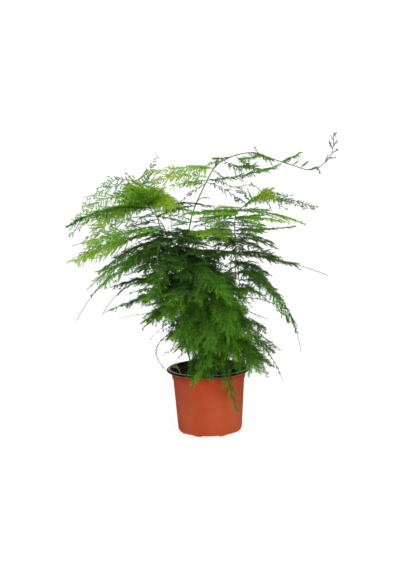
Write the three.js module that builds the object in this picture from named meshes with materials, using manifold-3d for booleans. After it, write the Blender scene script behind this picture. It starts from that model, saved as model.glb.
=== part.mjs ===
// A potted lace fern (Asparagus setaceus) in a 12 cm thin-walled nursery pot.
// Millimetres, +Z up, origin on the pot's axis at the level it stands on; the front is -Y.
//
// The pot, the soil and each leafy stem are separate solids. A leafy stem is its wiry stem
// fused with its sprays: every spray is a thin arched blade, cut to the rib into leaflets.
import * as THREE from 'three';
import { mergeVertices } from 'three/addons/utils/BufferGeometryUtils.js';
import Module from 'manifold-3d';

const wasm = await Module();
wasm.setup();

// --- Driving dimensions ---------------------------------------------------------------

const RIM_RADIUS = 60;          // outside of the rolled rim: a 12 cm pot
const POT_HEIGHT = 92;
const BASE_RADIUS = 45.8;       // where the straight side starts, at BASE_LEVEL
const BASE_LEVEL = 6;
const SIDE_TOP_RADIUS = 51;     // where it ends, at COLLAR_FOOT
const COLLAR_FOOT = 77.5;
const COLLAR_RADII = [52.2, 54.2];
const COLLAR_TOP = 88.6;        // underside of the rolled rim
const WALL = 1.1;
const FLOOR_LIFT = 2;           // the floor is raised between the feet
const FLOOR_TOP = 3.2;
const FLOOR_EDGE = 42;          // radius at which the floor turns up inside
const FOOT_RADII = [38.4, 40.6];  // the flat ring that the feet stand on
const POT_SIDES = 30;
const FOOT_COUNT = 8;           // feet, with a notch and a drain hole between each two
const NOTCH_WIDTH = 22;
const NOTCH_LENGTH = 13;        // from the raised floor out past the side
const DRAIN_RADIUS = 4;
const DRAIN_CIRCLE = 31.5;

const SOIL_LEVEL = 82;
const SOIL_RADII = [16, 33, 50.6];  // rings of the uneven top
const SOIL_GAP = 0.3;           // between soil and pot, and round every buried stem
const SOIL_SIDES = 24;

const STEM_RADIUS = 1.3;        // at the foot; a stem thins to STEM_TIP_RADIUS
const STEM_TIP_RADIUS = 0.8;
const STEM_SIDES = 4;
const LONG_SPAN = 15;           // stretches of stem longer than this bend once more

const LEAFLET_PITCH = 19;       // distance between leaflets along a rib
const LEAFLET_LEANS = [54, 34]; // degrees between rib and leaflet, at the root and the tip
const LEAFLET_SAG = 0.14;       // how far a leaflet's point hangs, as a part of its length
const LEAFLET_VARIETY = 0.12;   // how far leaflets differ in length
const LEAFLET_CUTS = [1, 0.75, 0.5, 0.3];  // lengths tried where there is little room
const FIRST_LEAFLET = 0.6;      // bare rib below the first, in leaflet spacings
const LAST_LEAFLET = 0.9;       // and past the last
const RIB_HALF_WIDTH = 0.7;
const RIB_DEPTH = 1.1;
const RIB_KEEL = 0.65;          // the part of the depth below the rib's centre line
const RIB_TAPER = [1, 0.65];    // a rib's size at its root and its tip
const ROOT_SIZE = 0.4;          // its end inside the stem is thinner still
const SWELL_FROM = 0.6;         // a spray's width at its root
const SWELL_END = 0.25;         // where along the rib it is widest
const WIDTH_TAPER = 0.72;       // how much of the width is lost from there to the tip
const FAN_BOW = 0.11;           // how far a fan's ribs bow up, as a part of their length
const FAN_VARIETY = [0.3, 0.6]; // how far they differ in length and in drop
const NODE_GAP = 0.35;          // kept between parts of different stems
const RIB_CLEARANCE = 3.2;      // kept between ribs of different stems
const RIB_ROOM = 1.3;           // radius kept clear round a rib
const STEM_ROOM = 1.5;          // and round a stem
const TURNS = [0, 3, -3, 6, -6, 9, -9, 12, -12, 16, -16, 20, -20, 25, -25];  // degrees tried
const GOLDEN = 0.618034;

// --- Where the stems grow -------------------------------------------------------------
// Each stem: name, colour, and the points its centre line runs through, from the buried foot.

const STEMS = [
  ['climbing_stem', 0x9aa83c, [[-8, 2, 62], [-8, 2, 90], [-12, 2, 146], [-20, 6, 210],
    [-23, 8, 274], [-19, 8, 302], [-11, 6, 325], [4, 2, 355], [16, -2, 375], [31, -6, 386],
    [52, -10, 393], [74, -14, 394], [97, -18, 385], [123, -20, 376], [144, -22, 369],
    [161, -22, 373], [176, -20, 387], [180, -18, 402], [181, -16, 419]]],
  ['left_crown_stem', 0x6f9a2c, [[-18, 9, 62], [-18, 9, 90], [-29, 14, 144], [-46, 20, 216],
    [-61, 26, 281], [-70, 26, 315], [-85, 22, 340], [-98, 16, 359]]],
  ['left_middle_stem', 0x5c8a2c, [[-16, -8, 62], [-16, -8, 90], [-23, -16, 156],
    [-36, -24, 215], [-49, -30, 265], [-54, -32, 293], [-65, -32, 311], [-78, -30, 328]]],
  ['pale_stem', 0x4f7f2e, [[-5, -13, 62], [-5, -13, 90], [-7, -22, 164], [-14, -28, 208],
    [-27, -30, 240], [-40, -26, 261], [-45, -20, 291], [-47, -14, 313], [-49, -8, 328]]],
  ['right_crown_stem', 0x64922f, [[9, 7, 62], [9, 7, 90], [27, 12, 143], [39, 16, 193],
    [43, 18, 243], [43, 18, 293], [47, 16, 311], [61, 14, 322], [77, 12, 332], [91, 10, 341]]],
  ['back_centre_stem', 0x2f5f22, [[0, 15, 62], [0, 15, 90], [7, 26, 148], [16, 38, 205],
    [20, 44, 248], [18, 46, 275], [14, 44, 302]]],
  ['right_low_stem', 0x3f7428, [[16, -5, 62], [16, -5, 90], [33, -14, 147], [46, -20, 198],
    [45, -22, 233], [49, -22, 248]]],
  ['left_low_stem', 0x44792a, [[-25, -1, 62], [-25, -1, 90], [-32, -4, 147], [-40, -8, 191],
    [-48, -10, 220], [-55, -12, 246]]],
  ['middle_stem', 0x3c7029, [[1, 1, 62], [1, 1, 90], [0, 2, 153], [2, 0, 203], [1, -4, 244],
    [-3, -8, 269]]],
  ['middle_right_stem', 0x427829, [[17, -16, 62], [17, -16, 90], [20, -20, 142],
    [27, -18, 184], [25, -14, 212], [20, -12, 238]]],
  ['front_middle_stem', 0x56892c, [[-2, -25, 62], [-2, -25, 90], [2, -40, 139], [1, -52, 180],
    [-3, -58, 211]]],
  ['front_left_stem', 0x4f832c, [[-13, -20, 62], [-13, -20, 90], [-22, -32, 131],
    [-29, -44, 161], [-34, -50, 186]]],
  ['front_right_stem', 0x56892c, [[10, -21, 62], [10, -21, 90], [22, -36, 130],
    [33, -48, 165], [39, -54, 189]]],
  ['right_skirt_stem', 0x4a7f2b, [[24, 4, 62], [24, 4, 90], [33, 6, 122], [49, 6, 146],
    [61, 4, 163]]],
  ['back_left_stem', 0x447a2a, [[-11, 24, 62], [-11, 24, 90], [-22, 38, 147], [-38, 56, 204],
    [-59, 70, 255], [-81, 78, 281]]],
  ['back_right_stem', 0x447a2a, [[11, 24, 62], [11, 24, 90], [19, 38, 146], [32, 58, 194],
    [39, 72, 244], [46, 78, 273]]],
  ['back_low_stem', 0x3c7029, [[-1, 33, 62], [-1, 33, 90], [-2, 48, 130], [-4, 62, 162],
    [-7, 70, 185]]],
  ['back_right_low_stem', 0x447a2a, [[22, 17, 62], [22, 17, 90], [28, 34, 124], [45, 46, 148],
    [56, 52, 168]]],
  ['back_left_low_stem', 0x447a2a, [[-25, 17, 62], [-25, 17, 90], [-35, 34, 123],
    [-50, 48, 150], [-60, 56, 167]]],
  ['young_shoot', 0x9fb04a, [[-40, -12, 72], [-40, -12, 84], [-42, -14, 92], [-46, -17, 100]]],
];

// --- The sprays -----------------------------------------------------------------------
// Each spray: where it leaves its stem (3.5 is halfway between the stem's points 3 and 4),
// its tip, how far its middle bows off the straight line (sideways x, upwards z), half its
// width, and how many degrees its face is turned to the front.

const SPRAYS = {
  climbing_stem: [
    [8.0, [-79, 10, 369], [0, 3], 13, 38],
    [7.9, [-48, -34, 364], [0, 5], 17, 38],
    [6.9, [-43, -20, 352], [0, 3], 10, 35],
    [7.3, [-74, -10, 357], [0, 5], 13, 38],
    [7.1, [102, -40, 376], [0, -3], 10, 25],
    [9.7, [88, -50, 371], [0, -6], 7, 25],
    [7.0, [51, 0, 328], [0, 4], 9, 40],
    [11.1, [95, -24, 384], [0, -1], 8, 25],
    [12.4, [131, -34, 392], [0, -1], 9, 20],
    [14.8, [160, -26, 364], [0, 0], 3, 20],
    [15.4, [172, -20, 387], [0, 0], 3, 20],
    [15.8, [182, -20, 385], [0, 0], 3, 20],
    [16.3, [185, -20, 395], [0, 0], 3, 20],
    [16.6, [175, -20, 406], [0, 0], 5, 30],
    [16.9, [185, -20, 407], [0, 0], 5, 30],
    [17.3, [177, -18, 414], [0, 0], 3, 30],
    [17.6, [184, -18, 419], [0, 0], 3, 30],
    [9.4, [17, -20, 387], [0, 0], 9, 25],
    [6.1, [6, -14, 334], [0, 3], 4, 0],
    [5.9, [-62, -10, 311], [0, 3], 12, 15],
  ],
  left_crown_stem: [
    [6.8, [-168, -10, 330], [0, 8], 10, 35],
    [6.3, [-176, -40, 313], [0, 8], 12, 38],
    [6.3, [-65, 30, 393], [0, 0], 8, 45],
    [5.4, [-143, -46, 309], [0, 6], 16, 40],
    [5.2, [-104, -40, 340], [0, 3], 9, 50],
    [5.4, [-94, -45, 352], [0, 3], 9, 55],
    [5.4, [-46, -45, 336], [0, 3], 9, 55],
    [5.7, [-38, -50, 325], [0, 4], 12, 45],
    [5.8, [-118, -30, 336], [0, 4], 12, 45],
    [5.3, [-153, -30, 287], [0, 10], 14, 42],
    [5.2, [-154, -50, 298], [0, 8], 11, 42],
    [5.5, [-45, -40, 322], [0, 2], 11, 50],
    [5.1, [-167, -20, 309], [0, 8], 15, 42],
    [4.7, [-121, 36, 302], [0, 3], 6, 0],
    [6.7, [-106, -20, 372], [0, 0], 8, 45],
    [4.2, [-157, 66, 268], [0, 5], 12, 25],
  ],
  left_middle_stem: [
    [6.7, [-189, -42, 300], [0, 11], 13, 32],
    [6.5, [-183, -60, 291], [0, 17], 9, 30],
    [5.3, [-126, -84, 288], [0, 2], 10, 20],
    [5.2, [-161, -60, 272], [0, 7], 15, 45],
    [4.9, [-171, -66, 257], [0, 6], 14, 45],
    [4.9, [-185, -20, 273], [0, 6], 8, 35],
    [5.0, [-164, -30, 285], [0, 7], 11, 40],
    [4.7, [-165, -50, 259], [0, 8], 9, 35],
    [4.6, [-189, -40, 253], [0, 12], 9, 30],
    [5.0, [-152, -10, 253], [0, 6], 15, 38],
    [4.5, [-119, -50, 249], [0, 2], 11, 0],
    [4.1, [-141, -84, 242], [0, 9], 13, 15],
    [3.9, [-148, -60, 230], [0, 11], 14, 20],
    [3.8, [-136, -90, 226], [0, 16], 15, 15],
    [3.8, [-178, -60, 174], [-13, 19], 8, 0],
    [4.3, [-108, -90, 252], [0, 1], 12, 10],
    [4.7, [-35, -60, 286], [0, 1], 8, 10],
    [4.0, [-121, -80, 230], [0, 18], 11, 15],
    [6.7, [-43, -60, 326], [0, 3], 12, 45],
    [6.0, [-27, -70, 303], [0, 3], 8, 0],
    [6.2, [-88, -40, 309], [0, 1], 5, 0],
    [5.4, [-161, 30, 290], [0, 7], 11, 35],
  ],
  pale_stem: [
    [7.8, [6, -22, 323], [0, 4], 9, 10],
    [5.4, [-7, -80, 273], [0, 4], 12, 10],
    [5.1, [-108, -94, 252], [0, 12], 15, 0],
    [4.8, [167, -44, 225], [0, 14], 9, 5],
    [4.6, [-60, -110, 244], [0, 10], 16, 15],
    [4.2, [-74, -112, 208], [0, 20], 16, 0],
    [3.6, [28, -128, 205], [0, 18], 18, 0],
    [4.0, [0, -110, 228], [0, 10], 16, 15],
    [4.4, [-76, -60, 228], [0, 8], 17, 12],
  ],
  right_crown_stem: [
    [8.1, [156, 0, 316], [0, 3], 7, 40],
    [7.8, [140, -30, 317], [0, 4], 6, 30],
    [7.3, [49, 10, 348], [0, 0], 8, 45],
    [7.0, [44, 20, 331], [0, 1], 7, 35],
    [8.5, [54, 34, 346], [0, 7], 5, 0],
    [6.3, [-19, -24, 314], [0, 1], 12, 15],
    [6.1, [-11, 10, 311], [0, 1], 11, 18],
    [6.5, [14, -40, 321], [0, 1], 8, 20],
    [6.7, [68, -20, 332], [0, 1], 9, 40],
    [6.1, [139, -12, 294], [0, 6], 7, 0],
    [6.2, [120, 32, 292], [0, 5], 6, 0],
    [6.2, [24, -46, 313], [0, 1], 10, 15],
    [5.5, [70, -60, 306], [0, 1], 11, 12],
    [5.4, [105, -54, 301], [0, 3], 8, 10],
    [5.1, [-12, 20, 293], [0, 4], 9, 10],
    [5.1, [13, -60, 298], [0, 2], 9, 15],
    [5.1, [78, -50, 296], [0, 2], 9, 15],
    [4.9, [121, -34, 293], [0, -3], 6, 0],
    [4.8, [-17, -50, 288], [0, 3], 11, 25],
    [4.8, [77, -60, 289], [0, 2], 9, 15],
    [4.8, [78, 66, 278], [0, 3], 10, 0],
    [4.7, [-7, -30, 277], [0, 4], 12, 15],
    [4.6, [100, -32, 262], [0, 5], 6, 0],
    [4.5, [7, -60, 281], [0, 3], 9, 10],
    [4.6, [0, -40, 274], [0, 2], 9, 12],
    [4.4, [10, -40, 269], [0, 2], 7, 10],
    [4.7, [95, 10, 266], [0, 5], 8, 10],
    [4.5, [77, -64, 263], [0, 4], 9, 0],
    [4.2, [-20, -80, 265], [0, 3], 13, 0],
    [4.2, [89, -50, 252], [0, 3], 9, 10],
  ],
  back_centre_stem: [
    [4.8, [-135, 64, 263], [0, 16], 10, 0],
    [4.2, [-146, 30, 235], [0, 28], 18, 0],
    [5.8, [-50, 64, 290], [0, 3], 10, 0],
    [5.9, [85, 76, 288], [0, 4], 10, 0],
    [4.6, [89, 98, 260], [0, 6], 14, 0],
    [4.0, [-69, 118, 229], [0, 10], 16, 0],
    [5.0, [-37, 90, 261], [0, 10], 16, 0],
    [3.6, [-30, 110, 204], [0, 8], 16, 0],
    [3.3, [-25, 120, 184], [0, 12], 18, 0],
  ],
  right_low_stem: [
    [4.7, [129, -42, 119], [15, 11], 7, 10],
    [4.4, [110, -52, 167], [8, 6], 10, 10],
    [4.5, [97, -72, 182], [7, 8], 9, 10],
    [2.9, [98, -52, 186], [0, 4], 5, 10],
    [2.7, [86, -12, 161], [0, -2], 3, 0],
    [3.9, [86, 74, 210], [0, 4], 12, 0],
    [3.2, [24, -128, 168], [0, 18], 18, 0],
    [2.4, [69, -84, 137], [0, 8], 10, 10],
  ],
  left_low_stem: [
    [4.3, [-132, -50, 217], [0, 3], 9, 10],
    [4.2, [-145, -40, 178], [-9, 15], 5, 0],
    [3.5, [-138, -82, 188], [0, 3], 7, 0],
    [3.5, [-104, -60, 211], [0, 3], 8, 10],
    [3.6, [-62, -80, 220], [0, 2], 9, 10],
    [4.0, [-95, -60, 223], [0, 3], 9, 10],
    [3.5, [-108, -50, 193], [0, 5], 11, 10],
    [3.4, [-83, -90, 203], [0, 3], 13, 10],
    [2.8, [-80, -90, 176], [0, 4], 12, 10],
    [2.9, [-81, -60, 193], [0, 3], 8, 10],
    [2.6, [-61, -70, 166], [0, 3], 8, 10],
    [2.7, [-89, -60, 160], [0, 6], 7, 0],
    [2.5, [-121, -20, 170], [0, 4], 4, 0],
    [2.1, [-61, -30, 97], [-24, 4], 3, 0],
    [2.3, [-80, -40, 142], [0, 7], 3, 0],
    [1.6, [-63, -40, 119], [0, 4], 4, 0],
  ],
  middle_stem: [
    [4.1, [-56, -60, 267], [0, 2], 13, 15],
    [3.9, [-52, -90, 260], [0, 1], 13, 15],
    [4.2, [-56, -50, 271], [0, 1], 12, 15],
    [3.9, [-42, -100, 249], [0, 3], 12, 12],
    [3.3, [30, -100, 203], [0, 5], 11, 10],
    [3.7, [-29, -100, 235], [0, 4], 15, 10],
    [3.6, [-49, -70, 221], [0, 7], 18, 10],
    [3.3, [-46, -80, 208], [0, 14], 18, 15],
    [3.2, [-11, -130, 209], [0, 14], 18, 15],
  ],
  front_middle_stem: [
    [2.8, [-32, -104, 74], [13, 6], 7, 0],
    [2.2, [-13, -95, 141], [0, 6], 12, 15],
    [3.6, [-62, -100, 182], [0, 6], 14, 10],
    [3.5, [-48, -120, 187], [0, 10], 16, 10],
    [4.0, [-45, -110, 204], [0, 10], 16, 10],
  ],
  front_right_stem: [
    [2.5, [37, -96, 51], [-9, 8], 9, 0],
    [2.7, [57, -84, 102], [6, 12], 12, 0],
    [2.3, [70, -66, 97], [4, 4], 10, 10],
    [2.4, [32, -100, 130], [0, 8], 15, 10],
  ],
  right_skirt_stem: [
    [2.6, [105, -20, 72], [6, 14], 7, 0],
    [3.2, [105, -6, 113], [0, 3], 6, 0],
    [2.3, [80, -52, 87], [6, 12], 9, 0],
    [2.9, [91, -34, 117], [0, 3], 10, 10],
    [2.3, [88, -40, 99], [0, 3], 11, 10],
  ],
};

// Fans of sprays set round a stem at the golden ratio: stem, count, first and last place,
// heading and spread in degrees, reach, drop of the tips, half width.

const FANS = [
  ['front_middle_stem', 8, 2.1, 3.9, -78, 44, 72, 34, 15],
  ['front_right_stem', 6, 1.8, 3.9, -96, 46, 56, 30, 15],
  ['front_left_stem', 6, 1.7, 3.9, -65, 40, 56, 28, 14],
  ['right_skirt_stem', 2, 2.8, 3.9, -60, 30, 28, 18, 11],
  ['middle_stem', 7, 2.6, 4.6, -100, 56, 80, 38, 16],
  ['middle_right_stem', 7, 2.0, 4.4, -108, 54, 70, 34, 15],
  ['back_left_stem', 6, 2.4, 4.6, 82, 55, 90, 44, 17],
  ['back_right_stem', 6, 2.4, 4.6, 96, 55, 90, 44, 17],
  ['back_low_stem', 5, 1.9, 3.9, 85, 42, 84, 36, 17],
  ['back_right_low_stem', 4, 2.0, 3.9, 124, 30, 66, 30, 13],
  ['back_left_low_stem', 4, 2.0, 3.2, 84, 30, 50, 20, 12],
  ['back_centre_stem', 3, 3.0, 3.9, 96, 50, 90, 40, 17],
  ['young_shoot', 2, 2.2, 2.9, 200, 60, 8, -4, 3],
];

// --- Small tools ----------------------------------------------------------------------

const vec = (x, y, z) => new THREE.Vector3(x, y, z);
const UP = vec(0, 0, 1);
const mix = THREE.MathUtils.lerp;
const clamp = THREE.MathUtils.clamp;

function seeded(seed) {
  let state = seed;
  return () => {
    state = (state * 16807) % 2147483647;
    return state / 2147483647;
  };
}

// Smooth curve through a stem's points; place 2.5 lies between points 2 and 3.
function alongStem(points, place) {
  const last = points.length - 1;
  const i = clamp(Math.floor(place), 0, last - 1);
  const t = place - i;
  const at = (k) => vec(...points[k]);
  const before = i > 0 ? at(i - 1) : at(0).multiplyScalar(2).sub(at(1));
  const after = i + 2 <= last ? at(i + 2) : at(last).multiplyScalar(2).sub(at(last - 1));
  const blend = (a, b, c, d) => b + 0.5 * t * (c - a
    + t * (2 * a - 5 * b + 4 * c - d + t * (3 * b - a - 3 * c + d)));
  const b = at(i);
  const c = at(i + 1);
  return vec(blend(before.x, b.x, c.x, after.x), blend(before.y, b.y, c.y, after.y),
    blend(before.z, b.z, c.z, after.z));
}

function closedGeometry(vertices, faces) {
  const geometry = new THREE.BufferGeometry();
  geometry.setAttribute('position', new THREE.Float32BufferAttribute(vertices.flat(), 3));
  geometry.setIndex(faces.flat());
  return geometry;
}

function solid(geometry) {
  const bare = geometry.index ? geometry.clone() : mergeVertices(geometry);
  bare.deleteAttribute('normal');
  bare.deleteAttribute('uv');
  const merged = mergeVertices(bare, 1e-4);
  return new wasm.Manifold(new wasm.Mesh({
    numProp: 3,
    vertProperties: new Float32Array(merged.attributes.position.array),
    triVerts: new Uint32Array(merged.index.array),
  }));
}

function geometryOf(manifold) {
  const mesh = manifold.getMesh();
  const geometry = new THREE.BufferGeometry();
  geometry.setAttribute('position', new THREE.BufferAttribute(mesh.vertProperties, 3));
  geometry.setIndex(new THREE.BufferAttribute(mesh.triVerts, 1));
  return geometry;
}

// --- Pot ------------------------------------------------------------------------------

function potBody() {
  const [collarFoot, collarTop] = COLLAR_RADII;
  const [footInside, footOutside] = FOOT_RADII;
  const profile = [
    [0, FLOOR_LIFT], [footInside - 2, FLOOR_LIFT], [footInside, 0], [footOutside, 0],
    [footOutside + 2.8, 1.3], [BASE_RADIUS - 0.4, 4], [BASE_RADIUS, BASE_LEVEL],
    [SIDE_TOP_RADIUS, COLLAR_FOOT], [collarFoot, COLLAR_FOOT + 1],
    [collarTop, COLLAR_TOP], [RIM_RADIUS - 1.4, COLLAR_TOP - 0.4],
    [RIM_RADIUS, COLLAR_TOP + 0.7], [RIM_RADIUS - 1.4, POT_HEIGHT - 0.6],
    [RIM_RADIUS - 3.4, POT_HEIGHT], [collarTop + 0.4, POT_HEIGHT - 0.6],
    [collarTop - WALL, COLLAR_TOP - 1], [collarFoot - WALL, COLLAR_FOOT + 1],
    [SIDE_TOP_RADIUS - WALL, COLLAR_FOOT], [BASE_RADIUS - WALL, BASE_LEVEL + 0.2],
    [FLOOR_EDGE, FLOOR_TOP], [0, FLOOR_TOP],
  ];
  const outline = profile.map(([r, z]) => new THREE.Vector2(r, z));
  const lathe = new THREE.LatheGeometry(outline, POT_SIDES, Math.PI / POT_SIDES);
  return solid(lathe.rotateX(Math.PI / 2));
}

function notch(angle) {
  const box = new THREE.BoxGeometry(NOTCH_LENGTH, NOTCH_WIDTH, 2 * FLOOR_LIFT);
  const middle = FOOT_RADII[0] - 2.5 + NOTCH_LENGTH / 2;
  return solid(box.translate(middle, 0, 0).rotateZ(angle));
}

function drainHole(angle) {
  const drill = new THREE.CylinderGeometry(DRAIN_RADIUS, DRAIN_RADIUS, 8, 6);
  return solid(drill.rotateX(Math.PI / 2).translate(DRAIN_CIRCLE, 0, 3).rotateZ(angle));
}

function potGeometry() {
  let pot = potBody();
  for (let k = 0; k < FOOT_COUNT; k += 1) {
    const angle = -Math.PI / 2 + (k * 2 * Math.PI) / FOOT_COUNT;
    pot = pot.subtract(notch(angle)).subtract(drainHole(angle));
  }
  return geometryOf(pot);
}

// --- Stems ----------------------------------------------------------------------------

// Centre line as straight steps: the buried foot is one, and a long span takes two.
function stemLine(points) {
  const line = [vec(...points[0])];
  for (let k = 1; k < points.length; k += 1) {
    const end = vec(...points[k]);
    if (k > 1 && end.distanceTo(vec(...points[k - 1])) > LONG_SPAN) {
      line.push(alongStem(points, k - 0.5));
    }
    line.push(end);
  }
  return line;
}

function tube(line, radiusAt) {
  const vertices = [];
  const faces = [];
  line.forEach((centre, k) => {
    const ahead = line[Math.min(k + 1, line.length - 1)].clone();
    const along = ahead.sub(line[Math.max(k - 1, 0)]).normalize();
    const side = vec(0, 1, 0).cross(along).normalize();
    const front = along.clone().cross(side);
    for (let s = 0; s < STEM_SIDES; s += 1) {
      const angle = ((s + 0.5) * 2 * Math.PI) / STEM_SIDES;
      const radius = radiusAt(k / (line.length - 1));
      vertices.push(centre.clone().addScaledVector(side, radius * Math.cos(angle))
        .addScaledVector(front, radius * Math.sin(angle)).toArray());
    }
  });
  for (let k = 0; k + 1 < line.length; k += 1) {
    for (let s = 0; s < STEM_SIDES; s += 1) {
      const a = k * STEM_SIDES + s;
      const b = k * STEM_SIDES + ((s + 1) % STEM_SIDES);
      faces.push([a, b, b + STEM_SIDES], [a, b + STEM_SIDES, a + STEM_SIDES]);
    }
  }
  const top = (line.length - 1) * STEM_SIDES;
  for (let s = 1; s + 1 < STEM_SIDES; s += 1) {
    faces.push([0, s + 1, s], [top, top + s, top + s + 1]);
  }
  return solid(closedGeometry(vertices, faces));
}

const stemRadius = (t) => mix(STEM_RADIUS, STEM_TIP_RADIUS, t);

// --- Soil -----------------------------------------------------------------------------

function soilHeight(x, y) {
  return SOIL_LEVEL + 0.9 * Math.sin(0.21 * x + 0.6) * Math.cos(0.17 * y)
    + 0.6 * Math.sin(0.33 * x - 0.29 * y + 1.7);
}

function soilBody() {
  const floor = FLOOR_TOP + SOIL_GAP;
  const flat = Math.cos(Math.PI / POT_SIDES);   // the pot's inside is nearest mid-facet
  const rings = [...SOIL_RADII.map((radius) => [radius, 'top']),
    [(SIDE_TOP_RADIUS - WALL) * flat - SOIL_GAP, COLLAR_FOOT + 0.1],
    [(BASE_RADIUS - WALL) * flat - 1.5 * SOIL_GAP, BASE_LEVEL + 0.5],
    [FLOOR_EDGE - 0.7, floor]];
  const vertices = [[0, 0, soilHeight(0, 0)]];
  rings.forEach(([radius, level]) => {
    for (let s = 0; s < SOIL_SIDES; s += 1) {
      const angle = ((s + 0.5) * 2 * Math.PI) / SOIL_SIDES;
      const x = radius * Math.cos(angle);
      const y = radius * Math.sin(angle);
      vertices.push([x, y, level === 'top' ? soilHeight(x, y) : level]);
    }
  });
  const bottom = vertices.length;
  vertices.push([0, 0, floor]);
  const faces = [];
  for (let s = 0; s < SOIL_SIDES; s += 1) {
    const next = (s + 1) % SOIL_SIDES;
    const ring = (r, k) => 1 + r * SOIL_SIDES + k;
    faces.push([0, ring(0, s), ring(0, next)]);
    for (let r = 0; r + 1 < rings.length; r += 1) {
      faces.push([ring(r, s), ring(r + 1, s), ring(r + 1, next)]);
      faces.push([ring(r, s), ring(r + 1, next), ring(r, next)]);
    }
    faces.push([bottom, ring(rings.length - 1, next), ring(rings.length - 1, s)]);
  }
  return solid(closedGeometry(vertices, faces));
}

function stemHole(points) {
  const line = stemLine(points).slice(0, 2);
  line[0].z -= 0.5;
  return tube(line, () => STEM_RADIUS + 1.5 * SOIL_GAP);
}

function soilGeometry() {
  let soil = soilBody();
  STEMS.forEach(([, , points]) => { soil = soil.subtract(stemHole(points)); });
  return geometryOf(soil);
}

// --- Sprays ---------------------------------------------------------------------------
// A spray is planned as its rib's ends and bow, then turned about its root until its rib is
// clear of every other stem and rib.

function listedSprays(stem, points) {
  return (SPRAYS[stem] ?? []).map(([place, tip, [bowX, bowZ], halfWidth, facing]) => ({
    stem, root: alongStem(points, place), tip: vec(...tip), bow: vec(bowX, 0, bowZ),
    halfWidth, facing,
  }));
}

function fanSprays([stem, count, first, last, heading, spread, reach, drop, halfWidth]) {
  const [, , points] = STEMS.find(([name]) => name === stem);
  const random = seeded(101 + count * 7 + Math.round(reach));
  return Array.from({ length: count }, (_, k) => {
    const place = mix(first, last, count > 1 ? k / (count - 1) : 1);
    const turn = heading + spread * (2 * ((0.3 + k * GOLDEN) % 1) - 1);
    const length = reach * (1 + FAN_VARIETY[0] * (random() - 0.5));
    const root = alongStem(points, place);
    const angle = THREE.MathUtils.degToRad(turn);
    const tip = vec(root.x + length * Math.cos(angle), root.y + length * Math.sin(angle),
      root.z - drop * (1 + FAN_VARIETY[1] * (random() - 0.5)));
    return { stem, root, tip, bow: vec(0, 0, FAN_BOW * length), halfWidth, facing: 0 };
  });
}

function ribPoint({ root, tip, bow }, u) {
  return root.clone().lerp(tip, u).addScaledVector(bow, 4 * u * (1 - u));
}

function ribLength(spray) {
  let length = 0;
  for (let k = 0; k < 20; k += 1) {
    length += ribPoint(spray, k / 20).distanceTo(ribPoint(spray, (k + 1) / 20));
  }
  return length;
}

const turned = (spray, degrees) => ({
  ...spray,
  tip: spray.tip.clone().sub(spray.root)
    .applyAxisAngle(UP, THREE.MathUtils.degToRad(degrees)).add(spray.root),
});

// Points every 2 mm along a rib past its root, as [x, y, z].
function ribSamples(spray) {
  const count = Math.ceil(ribLength(spray) / 2);
  return Array.from({ length: count - 1 }, (_, k) => ribPoint(spray, (k + 2) / count).toArray());
}

function nearest(samples, taken, stem) {
  let best = Infinity;
  for (const other of taken) {
    if (other.stem === stem) continue;
    for (const [x, y, z] of samples) {
      const d = (x - other.x) ** 2 + (y - other.y) ** 2 + (z - other.z) ** 2;
      if (d < best) best = d;
    }
  }
  return Math.sqrt(best);
}

function placedSprays() {
  const taken = [];
  const claim = (stem, points) => points.forEach(([x, y, z]) => taken.push({ stem, x, y, z }));
  STEMS.forEach(([stem, , points]) => {
    const last = points.length - 1;
    for (let place = 1; place <= last; place += 0.04) {
      claim(stem, [alongStem(points, place).toArray()]);
    }
  });
  const planned = [...STEMS.flatMap(([stem, , points]) => listedSprays(stem, points)),
    ...FANS.flatMap(fanSprays)];
  return planned.map((spray) => {
    let best = spray;
    let room = -1;
    for (const degrees of TURNS) {
      const trial = turned(spray, degrees);
      const clear = nearest(ribSamples(trial), taken, spray.stem);
      if (clear > room) { best = trial; room = clear; }
      if (room > RIB_CLEARANCE) break;
    }
    claim(best.stem, ribSamples(best));
    return best;
  });
}

// Width of a spray along its rib: it swells past the root and narrows to the tip.
function sprayWidth(u) {
  const swell = mix(SWELL_FROM, 1, Math.min(1, u / SWELL_END));
  const taper = 1 - WIDTH_TAPER * Math.max(0, (u - SWELL_END) / (1 - SWELL_END)) ** 1.5;
  return swell * taper;
}

// The rib's centre at station u, with the way it runs and the way its flat top faces.
function ribFrame(spray, u) {
  const step = 0.01;
  const centre = ribPoint(spray, u);
  const along = ribPoint(spray, u + step).sub(ribPoint(spray, u - step)).normalize();
  const side = spray.tip.clone().sub(spray.root).cross(UP).normalize();
  const over = side.clone().cross(along).normalize();
  const facing = THREE.MathUtils.degToRad(spray.facing) * (side.y > 0 ? 1 : -1);
  const tiltedSide = side.clone().multiplyScalar(Math.cos(facing))
    .addScaledVector(over, Math.sin(facing));
  const tiltedOver = over.clone().multiplyScalar(Math.cos(facing))
    .addScaledVector(side, -Math.sin(facing));
  return { centre, along, side: tiltedSide, over: tiltedOver };
}

const leanAt = (u) => THREE.MathUtils.degToRad(mix(...LEAFLET_LEANS, u));

function leafletPoint(spray, u, hand, length) {
  const { centre, along, side, over } = ribFrame(spray, u);
  const lean = leanAt(u);
  return centre.clone().addScaledVector(along, length * Math.cos(lean))
    .addScaledVector(side, hand * length * Math.sin(lean))
    .addScaledVector(over, -LEAFLET_SAG * length);
}

function meetsPot({ x, y, z, r }) {
  const radius = Math.hypot(x, y);
  const mouth = SIDE_TOP_RADIUS - 2;
  const room = r + 2 * NODE_GAP;
  const inRim = radius > mouth - room && radius < RIM_RADIUS + room && z < POT_HEIGHT + room;
  return inRim || (radius <= mouth && z < SOIL_LEVEL + 1.5 + room);
}

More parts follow.
